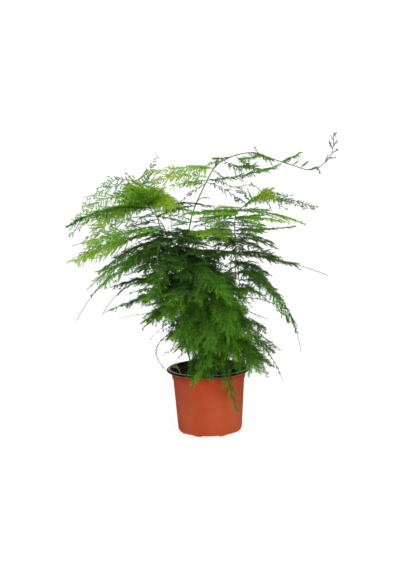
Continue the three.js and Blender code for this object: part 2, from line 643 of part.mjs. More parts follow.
const tooNear = (a, b) => {
  const reach = a.r + b.r + NODE_GAP;
  const dx = a.x - b.x;
  return a.stem !== b.stem && dx < reach && dx > -reach
    && dx * dx + (a.y - b.y) ** 2 + (a.z - b.z) ** 2 < reach * reach;
};

// Balls along every stem and rib, which leaflets of other stems keep clear of.
function ballsOnRibs(sprays) {
  const ribs = sprays.flatMap((spray) => ribSamples(spray).map(([x, y, z]) => (
    { stem: spray.stem, x, y, z, r: RIB_ROOM })));
  const stems = STEMS.flatMap(([stem, , points]) => {
    const places = Array.from({ length: (points.length - 1) * 24 }, (_, k) => k / 24);
    return places.map((place) => ({ stem, ...alongStem(points, place), r: STEM_ROOM }));
  });
  return [...ribs, ...stems];
}

// Balls along a leaflet, large at the rib and small at its point.
function leafletBalls(stem, base, point, half) {
  const count = Math.ceil(base.distanceTo(point) / 2);
  return Array.from({ length: count }, (_, k) => {
    const t = (k + 0.5) / count;
    return { stem, ...base.clone().lerp(point, t), r: Math.max(0.5, half * (1 - t)) };
  });
}

// The longest leaflet that has room at u, or none.
function fitLeaflet(spray, u, hand, wish, half, taken) {
  const base = ribPoint(spray, u);
  for (const part of LEAFLET_CUTS) {
    const point = leafletPoint(spray, u, hand, wish * part);
    const balls = leafletBalls(spray.stem, base, point, half);
    if (!balls.some((ball) => meetsPot(ball) || taken.some((other) => tooNear(ball, other)))) {
      taken.push(...balls);
      return point;
    }
  }
  return null;
}

function stationsOf(spray) {
  const count = Math.max(3, Math.round(ribLength(spray) / LEAFLET_PITCH));
  return Array.from({ length: count }, (_, k) => (
    mix(FIRST_LEAFLET / count, 1 - LAST_LEAFLET / count, k / (count - 1))));
}

// Leaflets: one on each side between every two stations, shortened where another stem's
// spray is in the way and left out where there is no room at all.
function planLeaflets(sprays) {
  const taken = ballsOnRibs(sprays);
  sprays.forEach((spray, index) => {
    const random = seeded(1009 + 31 * index);
    spray.stations = stationsOf(spray);
    spray.leaflets = [];
    for (let k = 0; k + 1 < spray.stations.length; k += 1) {
      const [from, to] = spray.stations.slice(k, k + 2);
      const u = (from + to) / 2;
      const half = ribPoint(spray, from).distanceTo(ribPoint(spray, to)) / 2;
      for (const hand of [1, -1]) {
        const variety = 1 + LEAFLET_VARIETY * (2 * random() - 1);
        const wish = (spray.halfWidth * sprayWidth(u) * variety) / Math.sin(leanAt(u));
        spray.leaflets.push(fitLeaflet(spray, u, hand, wish, half, taken));
      }
    }
  });
}

function spraySolid(spray) {
  const rows = [0, ...spray.stations];
  const vertices = [];
  const faces = [];
  rows.forEach((u, k) => {
    const { centre, side, over } = ribFrame(spray, u);
    const size = k === 0 ? ROOT_SIZE : mix(...RIB_TAPER, u);
    const push = (s, o) => vertices.push(centre.clone()
      .addScaledVector(side, s * size).addScaledVector(over, o * size).toArray());
    push(RIB_HALF_WIDTH, (1 - RIB_KEEL) * RIB_DEPTH);
    push(-RIB_HALF_WIDTH, (1 - RIB_KEEL) * RIB_DEPTH);
    push(0, -RIB_KEEL * RIB_DEPTH);
  });
  const cornersOf = (k, a, b) => [3 * k + b, 3 * k + a, 3 * k + 3 + a, 3 * k + 3 + b];
  const wall = ([a, b, c, d], apex) => {
    if (!apex) { faces.push([a, b, c], [a, c, d]); return; }
    const tip = vertices.push(apex.toArray()) - 1;
    faces.push([a, b, tip], [b, c, tip], [c, d, tip], [d, a, tip]);
  };
  for (let k = 0; k + 1 < rows.length; k += 1) {
    const leaflets = k === 0 ? [] : spray.leaflets.slice(2 * k - 2, 2 * k);
    wall(cornersOf(k, 0, 1), null);
    wall(cornersOf(k, 2, 0), leaflets[0]);
    wall(cornersOf(k, 1, 2), leaflets[1]);
  }
  const last = 3 * (rows.length - 1);
  const tip = vertices.push(spray.tip.toArray()) - 1;
  faces.push([0, 1, 2], [last + 1, last, tip], [last + 2, last + 1, tip],
    [last, last + 2, tip]);
  return solid(closedGeometry(vertices, faces));
}

// --- The plant ------------------------------------------------------------------------

function leafyStem(points, sprays) {
  let body = tube(stemLine(points), stemRadius);
  sprays.forEach((spray) => { body = body.add(spraySolid(spray)); });
  return geometryOf(body);
}

function named(name, geometry, color, roughness) {
  const mesh = new THREE.Mesh(geometry,
    new THREE.MeshStandardMaterial({ color, roughness, metalness: 0 }));
  mesh.name = name;
  return mesh;
}

const fern = new THREE.Group();
fern.name = 'potted_lace_fern';
fern.add(named('pot', potGeometry(), 0xb85432, 0.45));
fern.add(named('soil', soilGeometry(), 0x33251a, 0.95));

const sprays = placedSprays();
planLeaflets(sprays);
STEMS.forEach(([name, color, points]) => {
  const own = sprays.filter(({ stem }) => stem === name);
  fern.add(named(name, leafyStem(points, own), color, 0.6));
});

export default fern;
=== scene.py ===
# %% [markdown]
# # A potted lace fern
# *Asparagus setaceus* is sold in a thin 12 cm nursery pot. It has wiry stems, flat arching
# tiers of very fine needles, and now and then a long climbing shoot.
#
# The solid model gives every stem and spray its place. This lesson loads those solids and
# replaces each with a finer piece of the same form: a moulded pot, crumbly soil, and stems
# with branchlets and whorls of needles. The object's sizes are in millimetres and are turned
# into metres where a mesh is made. The studio's are in metres from the start.

# %% Load the solids
import math

import bpy
import bmesh
import numpy as np
from mathutils import Matrix, Vector


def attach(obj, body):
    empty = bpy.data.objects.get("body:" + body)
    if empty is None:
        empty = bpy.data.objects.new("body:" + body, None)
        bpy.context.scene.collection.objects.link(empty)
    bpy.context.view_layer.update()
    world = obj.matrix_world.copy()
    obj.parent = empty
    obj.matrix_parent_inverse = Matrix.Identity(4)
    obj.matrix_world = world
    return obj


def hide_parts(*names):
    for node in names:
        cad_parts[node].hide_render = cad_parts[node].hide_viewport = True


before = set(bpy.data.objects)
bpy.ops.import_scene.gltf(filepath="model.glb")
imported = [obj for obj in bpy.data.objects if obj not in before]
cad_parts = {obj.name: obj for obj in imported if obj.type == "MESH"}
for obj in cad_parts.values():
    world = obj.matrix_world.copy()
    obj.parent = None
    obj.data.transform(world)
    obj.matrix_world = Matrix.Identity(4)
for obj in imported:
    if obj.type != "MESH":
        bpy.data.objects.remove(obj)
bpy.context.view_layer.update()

MM = 0.001

# %% [markdown]
# ## Camera
# The pot is seen a little from above, so that the rim shows as a thin ellipse. A long lens a
# metre and a half away keeps the pot's sides almost parallel. The camera is leaned a degree
# or two, which is why the rim rises slightly to the right.
#
# A camera can be aimed with a constraint or by setting its matrix. The matrix is used here,
# because the lean is then one more number and nothing is left for Blender to work out.

# %% Place the camera
CAMERA_PLACE = Vector((0.0, -1500.0, 414.8)) * MM
CAMERA_TARGET = Vector((-8.7, 0.0, 210.6)) * MM
CAMERA_LEAN = -0.029
LENS_MM = 67.57

camera_data = bpy.data.cameras.new("camera")
camera_data.sensor_fit = "VERTICAL"
camera_data.sensor_height = 36.0
camera_data.lens = LENS_MM
camera = bpy.data.objects.new("camera", camera_data)
bpy.context.scene.collection.objects.link(camera)

view_line = (CAMERA_TARGET - CAMERA_PLACE).normalized()
level_right = view_line.cross(Vector((0, 0, 1))).normalized()
level_up = level_right.cross(view_line)
lean_right = math.cos(CAMERA_LEAN) * level_right + math.sin(CAMERA_LEAN) * level_up
lean_up = math.cos(CAMERA_LEAN) * level_up - math.sin(CAMERA_LEAN) * level_right
camera.matrix_world = Matrix((
    (lean_right.x, lean_up.x, -view_line.x, CAMERA_PLACE.x),
    (lean_right.y, lean_up.y, -view_line.y, CAMERA_PLACE.y),
    (lean_right.z, lean_up.z, -view_line.z, CAMERA_PLACE.z),
    (0, 0, 0, 1)))
bpy.context.scene.camera = camera
print("camera at", [round(v, 3) for v in CAMERA_PLACE])

# %% [markdown]
# ## Shader nodes
# The world and every finish are made of shader nodes. A few helpers keep their making short:
# a node's inputs are given by name, each with a plain value or with the output of another
# node, which is then linked to it.

# %% Helpers for shader nodes
def set_inputs(tree, node, values):
    """Sets inputs of a shader node. Where the value is another node's output, it is linked."""
    for name, value in values.items():
        if isinstance(value, bpy.types.NodeSocket):
            tree.links.new(value, node.inputs[name])
        else:
            node.inputs[name].default_value = value


def add_node(tree, kind, values=None, **settings):
    node = tree.nodes.new("ShaderNode" + kind)
    for name, setting in settings.items():
        setattr(node, name, setting)
    set_inputs(tree, node, values or {})
    return node


def ramp(tree, factor, stops):
    """The colour that a factor picks between stops, which are pairs of place and colour."""
    node = add_node(tree, "ValToRGB", {"Fac": factor})
    elements = node.color_ramp.elements
    for element, (position, tint) in zip(elements, (stops[0], stops[-1])):
        element.position, element.color = position, tint
    for position, tint in stops[1:-1]:
        elements.new(position).color = tint
    return node.outputs["Color"]


def new_finish(name, roughness, specular):
    """A material, its node tree and its shader."""
    material = bpy.data.materials.new(name)
    material.use_nodes = True
    shader = material.node_tree.nodes["Principled BSDF"]
    set_inputs(material.node_tree, shader,
               {"Roughness": roughness, "Specular IOR Level": specular})
    return material, material.node_tree, shader


print("node helpers ready")

# %% [markdown]
# ## Studio
# The object stands on a white sweep in soft light. A white world fills the shadows, but its
# left and right sides are grey, which keeps the edges of the pot from washing out. The grey
# starts sooner on the left, so the light comes a little from the right.
#
# Three area lights add shape. Two are tall strips beside the camera, which draw soft upright
# bands on the pot, and one hangs above and picks out the tops of the sprays.

# %% Light the studio
LIGHTS = {  # place, size, watts
    "key_light": ((-0.95, -2.0, 0.9), (0.35, 1.7), 8),
    "side_light": ((0.55, -2.1, 0.9), (0.3, 1.7), 16),
    "top_light": ((-0.1, -0.2, 2.0), (0.7, 0.7), 14)}
LIGHTS_AIM = Vector((0, 0, 0.2))
WHITE = (1.0, 1.0, 1.0, 1.0)
WALL_GREY = (0.25, 0.25, 0.25, 1.0)
WALL_SHIFT = 0.18  # how far to the right the whitest part lies
WALL_FADE = (0.25, 0.8)  # how far from there it starts to fade, and is all grey
WALL_STRENGTH, SEEN_STRENGTH = 0.65, 1.1


def soft_light(name, place, size, power):
    data = bpy.data.lights.new(name, "AREA")
    data.shape = "RECTANGLE"
    data.size, data.size_y = size
    data.energy = power
    light = bpy.data.objects.new(name, data)
    light.location = place
    light.rotation_euler = (LIGHTS_AIM - Vector(place)).to_track_quat("-Z", "Y").to_euler()
    bpy.context.scene.collection.objects.link(light)


def light_world():
    """Grey at the sides and white between as light, but plain white where it is seen."""
    world = bpy.data.worlds.new("white_studio")
    bpy.context.scene.world = world
    world.use_nodes = True
    tree = world.node_tree
    way = add_node(tree, "TexCoord").outputs["Generated"]
    x = add_node(tree, "SeparateXYZ", {"Vector": way}).outputs["X"]
    moved = add_node(tree, "Math", {0: x, 1: WALL_SHIFT}, operation="SUBTRACT")
    sideways = add_node(tree, "Math", {0: moved.outputs["Value"]}, operation="ABSOLUTE")
    walls = ramp(tree, sideways.outputs["Value"],
                 [(WALL_FADE[0], WHITE), (WALL_FADE[1], WALL_GREY)])
    lit = tree.nodes["Background"]
    set_inputs(tree, lit, {"Color": walls, "Strength": WALL_STRENGTH})
    seen = add_node(tree, "Background", {"Color": WHITE, "Strength": SEEN_STRENGTH})
    by_camera = add_node(tree, "LightPath").outputs["Is Camera Ray"]
    either = add_node(tree, "MixShader", {
        0: by_camera, 1: lit.outputs["Background"], 2: seen.outputs["Background"]})
    set_inputs(tree, tree.nodes["World Output"], {"Surface": either.outputs["Shader"]})


for name, (place, size, power) in LIGHTS.items():
    soft_light(name, place, size, power)
light_world()
bpy.context.scene.view_settings.view_transform = "Standard"
print("studio: white world and", len(LIGHTS), "lights")

# %% [markdown]
# The floor is a plain plane that glows faintly, like a lit table, so it stays white. It isn't
# part of the object.

# %% Lay the floor
FLOOR_SIZE, FLOOR_DROP = 12.0, 0.0003
FLOOR_GREY, FLOOR_GLOW = (0.35, 0.35, 0.35, 1.0), 0.85

bpy.ops.mesh.primitive_plane_add(size=FLOOR_SIZE, location=(0, 0, -FLOOR_DROP))
floor = bpy.context.object
floor.name = "floor"
floor_paint, tree, shader = new_finish("floor_paint", 0.9, 0.1)
set_inputs(tree, shader, {"Base Color": FLOOR_GREY, "Emission Color": WHITE,
                          "Emission Strength": FLOOR_GLOW})
floor.data.materials.append(floor_paint)
print("floor:", FLOOR_SIZE, "m wide")

# %% [markdown]
# ## A shared effect: mottle
# Nothing that grew or was moulded has one flat colour. Every finish here is broken up by soft
# blotches and a fine grain, each at its own size.
#
# The effect is a node group that is built once. It reads Object coordinates, so the pattern
# is as large on a small piece as on a big one, and gives out a mask that each material then
# uses for colour or bump.

# %% Build the mottle group
def mottle_group():
    group = bpy.data.node_groups.new("mottle", "ShaderNodeTree")
    for name, value in (("Blotches per metre", 40.0), ("Grains per metre", 900.0),
                        ("Grain share", 0.3)):
        socket = group.interface.new_socket(name=name, in_out="INPUT",
                                            socket_type="NodeSocketFloat")
        socket.default_value = value
    group.interface.new_socket(name="Mask", in_out="OUTPUT", socket_type="NodeSocketFloat")
    taken = group.nodes.new("NodeGroupInput").outputs
    given = group.nodes.new("NodeGroupOutput")
    place = add_node(group, "TexCoord").outputs["Object"]
    blotches, grains = (
        add_node(group, "TexNoise", {"Vector": place, "Scale": taken[size], "Detail": detail})
        for size, detail in (("Blotches per metre", 3.0), ("Grains per metre", 2.0)))
    blend = add_node(group, "Mix", {"Factor": taken["Grain share"],
                                    "A": blotches.outputs["Fac"], "B": grains.outputs["Fac"]})
    set_inputs(group, given, {"Mask": blend.outputs["Result"]})
    return group


MOTTLE = mottle_group()
print("mottle group sockets:", [item.name for item in MOTTLE.interface.items_tree])

# %% [markdown]
# ## Finishes
# The pot is one sheet in two colours: terracotta outside, with the soft sheen of moulded
# plastic, and black inside and over the rim. The terracotta is painted darker towards the
# collar, as painted shade from the rim and the sprays, and pales down the wall. A pale line
# along the top of the rim is a painted highlight, and dust from the soil clings to the inside.
# The soil is matt and dark. Needles and stems share one plant finish, whose green comes from
# a value called *tone* that is stored in each mesh: 0 is old and deep green, 1 is young and
# yellow-green.
#
# Tone could be a separate material for each age of growth. One material with a stored value
# lets the green change along a spray, as it does on the plant.

# %% Helpers for finishes
def colour(red, green, blue):
    """A screen colour from 0 to 255, as the linear value that a shader takes."""
    linear = [((v / 255 + 0.055) / 1.055) ** 2.4 if v > 10 else v / 255 / 12.92
              for v in (red, green, blue)]
    return (*linear, 1.0)


def shades(*rows):
    """Stops for a ramp, from rows of place, red, green and blue."""
    return [(place, colour(*rgb)) for place, *rgb in rows]


def mottled(tree, per_metre, grains, share):
    """Adds the mottle group to a node tree and returns its mask."""
    node = add_node(tree, "Group", {"Blotches per metre": per_metre, "Grains per metre": grains,
                                    "Grain share": share}, node_tree=MOTTLE)
    return node.outputs["Mask"]


def bump(tree, height, distance):
    return add_node(tree, "Bump", {"Height": height, "Distance": distance}).outputs["Normal"]


print("terracotta in linear values:", colour(160, 63, 31))

# %% Mix the finishes
def plastic(name, dark, light, sheen, dull, specular):
    """Moulded plastic, as rough as sheen where it faces the eye and as dull at its edges."""
    material, tree, shader = new_finish(name, sheen, specular)
    mask = mottled(tree, 26.0, 2600.0, 0.25)
    turned_away = add_node(tree, "LayerWeight", {"Blend": 0.5}).outputs["Facing"]
    set_inputs(tree, shader, {
        "Base Color": ramp(tree, mask, shades((0.3, *dark), (0.7, *light))),
        "Roughness": ramp(tree, turned_away, [(0.3, (sheen, sheen, sheen, 1)),
                                              (0.9, (dull, dull, dull, 1))]),
        "Normal": bump(tree, mask, 0.12 * MM)})
    return material


def graded(material, none_at, full_at, way, shade):
    """Blends a second shade into a plastic, from none at one height to full at another."""
    tree = material.node_tree
    base = tree.nodes["Principled BSDF"].inputs["Base Color"]
    place = add_node(tree, "TexCoord").outputs["Object"]
    height = add_node(tree, "SeparateXYZ", {"Vector": place}).outputs["Z"]
    share = add_node(tree, "MapRange", {"Value": height, "From Min": none_at * MM,
                                        "From Max": full_at * MM}).outputs["Result"]
    blend = add_node(tree, "Mix", {"Factor": share, "A": base.links[0].from_socket, "B": shade},
                     data_type="RGBA", blend_type=way)
    tree.links.new(blend.outputs["Result"], base)


def peat():
    material, tree, shader = new_finish("peat", 0.95, 0.2)
    mask = mottled(tree, 220.0, 1500.0, 0.5)
    browns = shades((0.3, 20, 12, 8), (0.5, 52, 32, 22), (0.64, 88, 50, 34),
                    (0.75, 120, 84, 58))
    set_inputs(tree, shader, {"Base Color": ramp(tree, mask, browns),
                              "Normal": bump(tree, mask, 1.2 * MM)})
    return material


def plant(name, roughness, greens):
    """A finish whose green follows the stored tone, shifted a little by the mottle."""
    material, tree, shader = new_finish(name, roughness, 0.08)
    tone = add_node(tree, "Attribute", attribute_name="tone").outputs["Fac"]
    mask = mottled(tree, 45.0, 700.0, 0.4)
    shifted = add_node(tree, "Math", {0: mask, 1: 0.3, 2: tone}, operation="MULTIPLY_ADD")
    set_inputs(tree, shader, {"Base Color": ramp(tree, shifted.outputs["Value"], greens)})
    return material


TERRACOTTA = plastic("terracotta_plastic", (160, 63, 31), (180, 82, 45), 0.3, 1.0, 0.08)
graded(TERRACOTTA, 46.0, 82.0, "MULTIPLY", (0.8, 0.54, 0.38, 1))  # painted shade of the rim and sprays, darker towards the collar
BLACK = plastic("black_plastic", (8, 8, 8), (18, 17, 16), 0.22, 0.4, 0.2)
graded(BLACK, 89.5, 84.5, "MIX", colour(74, 60, 38))  # dust from the soil
graded(BLACK, 91.4, 91.95, "MIX", colour(196, 198, 188))  # painted highlight: a pale line along the crest of the rim
PEAT = peat()
NEEDLES = plant("fern_needles", 0.6, shades(
    (0.12, 25, 45, 14), (0.32, 54, 80, 42), (0.55, 79, 129, 34), (0.8, 120, 186, 30),
    (1.0, 160, 190, 50)))
BARK = plant("fern_bark", 0.45, shades(
    (0.12, 44, 52, 26), (0.4, 82, 98, 44), (0.7, 120, 150, 62), (1.0, 176, 196, 116)))
print("finishes:", [m.name for m in (TERRACOTTA, BLACK, PEAT, NEEDLES, BARK)])

# %% [markdown]
# ## Pot
# The real pot is one warm sheet of plastic, sucked into a mould: a raised floor on eight short
# feet, straight tapering sides, a ledge, a collar that steps out, and a rolled rim.
#
# Such a round form could be spun from an outline. Here it is drawn up by hand instead: a ring
# of edges is extruded and scaled, level by level, up the outside, over the rim and down the
# inside. That keeps every fold of the sheet a ring that can be moved. The notches between the
# feet are opened last, by flattening the foot there up to one level.

# %% Outline of the pot
POT_SIDES = 96
POT_START = (36.4, 2.0)
POT_LEVELS = [
    (37.0, 1.2), (37.6, 0.3), (38.4, 0.0), (40.6, 0.0), (42.2, 0.5), (43.4, 1.3),  # foot
    (44.6, 2.5), (45.4, 4.0), (45.8, 6.0),
    (48.3, 40.0), (50.9, 76.6), (51.3, 77.1), (52.0, 77.6),                # side, ledge
    (52.2, 78.3), (52.3, 79.0), (52.9, 83.0), (53.6, 83.4), (53.6, 84.0),  # collar, bead
    (53.3, 84.6), (53.9, 87.4), (54.4, 88.3), (55.2, 88.6),
    (57.6, 88.3), (58.9, 88.2), (59.7, 88.7), (60.0, 89.4), (59.8, 90.3),  # rim
    (59.2, 91.0), (58.2, 91.6), (57.0, 91.9), (55.8, 92.0), (54.8, 91.7),
    (54.0, 90.9), (53.5, 89.6), (53.1, 87.6), (51.1, 78.6), (49.9, 77.2),  # inside
    (47.2, 40.0), (44.7, 6.2), (43.6, 4.3), (42.0, 3.2), (30.0, 3.2)]
FOOT_COUNT = 8
NOTCH_HALF_ANGLE = 15.0
NOTCH_LEVEL = 2.0
SLACK = 0.1  # a point counts as on a level when it is this near
print("pot outline:", len(POT_LEVELS), "levels")

# %% Helpers to draw up a form
def deselect():
    bpy.ops.object.select_all(action="DESELECT")


def start_piece(name, radius, level, sides, fill="NOTHING"):
    """A circle to extrude, in edit mode with all of it selected."""
    deselect()
    bpy.ops.mesh.primitive_circle_add(vertices=sides, radius=radius * MM, fill_type=fill,
                                      location=(0, 0, level * MM))
    piece = bpy.context.object
    piece.name = name
    bpy.ops.object.transform_apply(location=True, rotation=True, scale=True)
    bpy.ops.object.mode_set(mode="EDIT")
    bpy.ops.mesh.select_all(action="SELECT")
    return piece


def end_piece():
    """Turns all faces outward and leaves edit mode."""
    bpy.ops.mesh.select_all(action="SELECT")
    bpy.ops.mesh.normals_make_consistent(inside=False)
    bpy.ops.object.mode_set(mode="OBJECT")


def extrude(rise, grow=1.0):
    """Extrudes the selected ring upward, in metres, and scales it about the axis."""
    bpy.ops.mesh.extrude_region_move(TRANSFORM_OT_translate={"value": (0, 0, rise)})
    bpy.ops.transform.resize(value=(grow, grow, 1), center_override=(0, 0, 0))


def draw_up(start, levels):
    """Takes the selected ring through the radii and levels of an outline."""
    radius_now, level_now = start
    for radius, level in levels:
        extrude((level - level_now) * MM, radius / radius_now)
        radius_now, level_now = radius, level


def select_where(piece, test):
    """In edit mode, selects the vertices whose place in millimetres passes a test."""
    bpy.ops.mesh.select_mode(type="VERT")
    bpy.ops.mesh.select_all(action="DESELECT")
    edit = bmesh.from_edit_mesh(piece.data)
    for vertex in edit.verts:
        vertex.select = test(vertex.co / MM)
    edit.select_flush(True)
    bmesh.update_edit_mesh(piece.data)
    return sum(vertex.select for vertex in edit.verts)


print("helpers ready to draw up a form")

# %% Draw up the pot
def on_start(place):
    return place.z < POT_START[1] + SLACK and abs(place.xy.length - POT_START[0]) < 2 * SLACK


def in_notch(place):
    if place.z > NOTCH_LEVEL + SLACK / 2 or place.xy.length < POT_START[0] + 2 * SLACK:
        return False
    turn = math.degrees(math.atan2(place.y, place.x)) % (360 / FOOT_COUNT)
    return min(turn, 360 / FOOT_COUNT - turn) < NOTCH_HALF_ANGLE


pot = start_piece("nursery_pot", *POT_START, POT_SIDES)
draw_up(POT_START, POT_LEVELS)
bpy.ops.mesh.edge_face_add()
select_where(pot, on_start)
bpy.ops.mesh.edge_face_add()
raised = select_where(pot, in_notch)
bpy.ops.transform.resize(value=(1, 1, 0), center_override=(0, 0, NOTCH_LEVEL * MM))
end_piece()
print("pot:", len(pot.data.vertices), "vertices,", raised, "raised to open the notches")

# %% [markdown]
# Water leaves through a hole in the floor behind each notch. A hole in a finished shell is
# simplest to cut with a Boolean: a ring of drills is joined to one form, and it is taken away
# again when the cut is applied.

# %% Drill the drain holes
DRAIN_RADIUS = 4.0
DRAIN_CIRCLE = 31.5
DRAIN_MIDDLE, DRAIN_DEPTH = 3.0, 8.0

drills = []
for k in range(FOOT_COUNT):
    turn = math.radians(k * 360 / FOOT_COUNT - 90)
    bpy.ops.mesh.primitive_cylinder_add(
        vertices=20, radius=DRAIN_RADIUS * MM, depth=DRAIN_DEPTH * MM,
        location=(DRAIN_CIRCLE * MM * math.cos(turn), DRAIN_CIRCLE * MM * math.sin(turn),
                  DRAIN_MIDDLE * MM))
    drills.append(bpy.context.object)
deselect()
for drill in drills:
    drill.select_set(True)
bpy.context.view_layer.objects.active = drills[0]
bpy.ops.object.join()
cut = pot.modifiers.new("drain_holes", "BOOLEAN")
cut.object = drills[0]
cut.operation = "DIFFERENCE"
cut.solver = "EXACT"
bpy.context.view_layer.objects.active = pot
bpy.ops.object.modifier_apply(modifier=cut.name)
bpy.data.objects.remove(drills[0])
print("pot with drain holes:", len(pot.data.polygons), "faces")

# %% [markdown]
# The two colours of the sheet meet under the rim: all that faces in, and the whole rolled
# rim, is black. So each face is given its finish by where it lies.

# %% Colour the pot
FLOOR_TOP = 3.0
FLOOR_RADIUS = 45.0
RIM_ROOT = (54.3, 87.9)  # where the roll of the rim leaves the collar
RIM_LOWEST = 88.6  # all of the sheet above this belongs to the rim


def is_black(face):
    middle = face.center / MM
    radius = middle.xy.length
    inside = face.normal.xy.dot(middle.xy) < 0 and middle.z > FLOOR_TOP
    rim = middle.z > RIM_ROOT[1] and radius > RIM_ROOT[0] or middle.z > RIM_LOWEST
    floor_top = face.normal.z > 0.5 and radius < FLOOR_RADIUS and middle.z > FLOOR_TOP - SLACK
    return inside or rim or floor_top


pot.data.materials.clear()
pot.data.materials.append(TERRACOTTA)
pot.data.materials.append(BLACK)
for face in pot.data.polygons:
    face.material_index = 1 if is_black(face) else 0
deselect()
pot.select_set(True)
bpy.context.view_layer.objects.active = pot
bpy.ops.object.shade_smooth_by_angle(angle=math.radians(35))
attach(pot, "root")
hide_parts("pot")
print("black faces:", sum(face.material_index for face in pot.data.polygons))

# %% [markdown]
# ## Soil
# Peat fills the pot to a finger's width below the rim. Its top is uneven and crumbly.
#
# The body is drawn down from the surface ring by ring, and its top is inset and subdivided so
# that it can be raised by a formula. The same formula is in the solid model. A displacement
# of up to a millimetre then breaks up the surface.

# %% Fill the pot with soil
SOIL_TOP = (50.6, 82.0)
SOIL_LEVELS = [(49.3, 77.6), (44.0, 6.5), (41.3, 3.5)]  # down the side
SOIL_SIDES = 72
SOIL_INSETS, INSET_STEP = 12, 4.0


def soil_height(x, y):
    return (SOIL_TOP[1] + 0.9 * math.sin(0.21 * x + 0.6) * math.cos(0.17 * y)
            + 0.6 * math.sin(0.33 * x - 0.29 * y + 1.7))


def on_top(place):
    return place.z > SOIL_TOP[1] - SLACK


soil = start_piece("peat_soil", *SOIL_TOP, SOIL_SIDES)
draw_up(SOIL_TOP, SOIL_LEVELS)
bpy.ops.mesh.edge_face_add()
select_where(soil, on_top)
bpy.ops.mesh.edge_face_add()
for _ in range(SOIL_INSETS):
    bpy.ops.mesh.inset(thickness=INSET_STEP * MM)
bpy.ops.mesh.poke()
select_where(soil, lambda place: on_top(place) and place.xy.length < SOIL_TOP[0] - 4 * SLACK)
bpy.ops.mesh.subdivide(number_cuts=1)
edit = bmesh.from_edit_mesh(soil.data)
for vertex in edit.verts:
    if vertex.co.z > (SOIL_TOP[1] - SLACK) * MM:
        vertex.co.z = soil_height(vertex.co.x / MM, vertex.co.y / MM) * MM
bpy.ops.mesh.select_all(action="SELECT")
bpy.ops.mesh.quads_convert_to_tris()
end_piece()
print("smooth soil:", len(soil.data.polygons), "faces")

# %% Crumble the top of the soil
SOIL_LUMPS = {"clods": (7.0, 2.2), "grit": (2.2, 1.2)}  # size, depth
LUMPS_ABOVE, LUMPS_WITHIN = 80.0, 50.0

top = soil.vertex_groups.new(name="top")
top.add([v.index for v in soil.data.vertices
         if v.co.z > LUMPS_ABOVE * MM and v.co.xy.length < LUMPS_WITHIN * MM], 1.0, "REPLACE")
for name, (size, depth) in SOIL_LUMPS.items():
    clouds = bpy.data.textures.new(name, "CLOUDS")
    clouds.noise_scale = size * MM
    lumps = soil.modifiers.new(name, "DISPLACE")
    lumps.texture = clouds
    lumps.texture_coords = "OBJECT"
    lumps.vertex_group = "top"
    lumps.direction = "Z"
    lumps.strength = depth * MM
    bpy.ops.object.modifier_apply(modifier=lumps.name)
soil.data.materials.append(PEAT)
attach(soil, "root")
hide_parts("soil")
print("soil:", len(soil.data.polygons), "faces")

# %% [markdown]
# Loose crumbs lie on the soil. One crumb is modelled from a sphere that is dented by a
# displacement. It is then copied by the hundred, each copy turned and sized by a seeded draw,
# so the same crumbs come out every time.

# %% Helpers for copies
def mesh_piece(name, points, faces, material, tone=None):
    """A piece from arrays of points in millimetres and triangles."""
    mesh = bpy.data.meshes.new(name)
    mesh.vertices.add(len(points))
    mesh.vertices.foreach_set("co", (points * MM).astype(np.float32).ravel())
    mesh.loops.add(3 * len(faces))
    mesh.loops.foreach_set("vertex_index", faces.astype(np.int32).ravel())
    mesh.polygons.add(len(faces))
    mesh.polygons.foreach_set("loop_start", np.arange(0, 3 * len(faces), 3, dtype=np.int32))
    if tone is not None:
        stored = mesh.attributes.new("tone", "FLOAT", "POINT")
        stored.data.foreach_set("value", tone.astype(np.float32))
    mesh.update(calc_edges=True)
    mesh.materials.append(material)
    piece = bpy.data.objects.new(name, mesh)
    bpy.context.scene.collection.objects.link(piece)
    return piece


def template(piece):
    """The points and triangles of a small model, which is then removed."""
    points = np.array([v.co for v in piece.data.vertices])
    piece.data.calc_loop_triangles()
    faces = np.array([list(t.vertices) for t in piece.data.loop_triangles])
    bpy.data.objects.remove(piece)
    return points, faces


def copied(faces, point_count, copies):
    """The triangles of many copies of a model, one after the other."""
    return (np.arange(copies)[:, None, None] * point_count + faces).reshape(-1, 3)


print("helpers ready to lay copies")

# %% Scatter the crumbs
CRUMB_COUNT = 620
CRUMB_SIZES = (0.5, 1.7)
CRUMB_STRETCH = (0.6, 1.4)
CRUMB_CIRCLE = 48.5
CRUMB_LIFT = 0.9  # how far the middle of a crumb lies above the soil
DENT_SIZE, DENT_DEPTH = 0.7, 0.7


def between(pair, share):
    return pair[0] + (pair[1] - pair[0]) * share


def model_crumb():
    bpy.ops.mesh.primitive_ico_sphere_add(subdivisions=1, radius=1.0)
    crumb = bpy.context.object
    dents = bpy.data.textures.new("dents", "CLOUDS")
    dents.noise_scale = DENT_SIZE
    dent = crumb.modifiers.new("dents", "DISPLACE")
    dent.texture = dents
    dent.strength = DENT_DEPTH
    bpy.ops.object.modifier_apply(modifier=dent.name)
    return template(crumb)


def random_turns(draw, count):
    """Random rotation matrices, one for each copy."""
    q = draw.normal(size=(count, 4))
    w, x, y, z = (q / np.linalg.norm(q, axis=1)[:, None]).T
    rows = ((1 - 2 * (y * y + z * z), 2 * (x * y - w * z), 2 * (x * z + w * y)),
            (2 * (x * y + w * z), 1 - 2 * (x * x + z * z), 2 * (y * z - w * x)),
            (2 * (x * z - w * y), 2 * (y * z + w * x), 1 - 2 * (x * x + y * y)))
    return np.stack([np.stack(row, 1) for row in rows], 1)


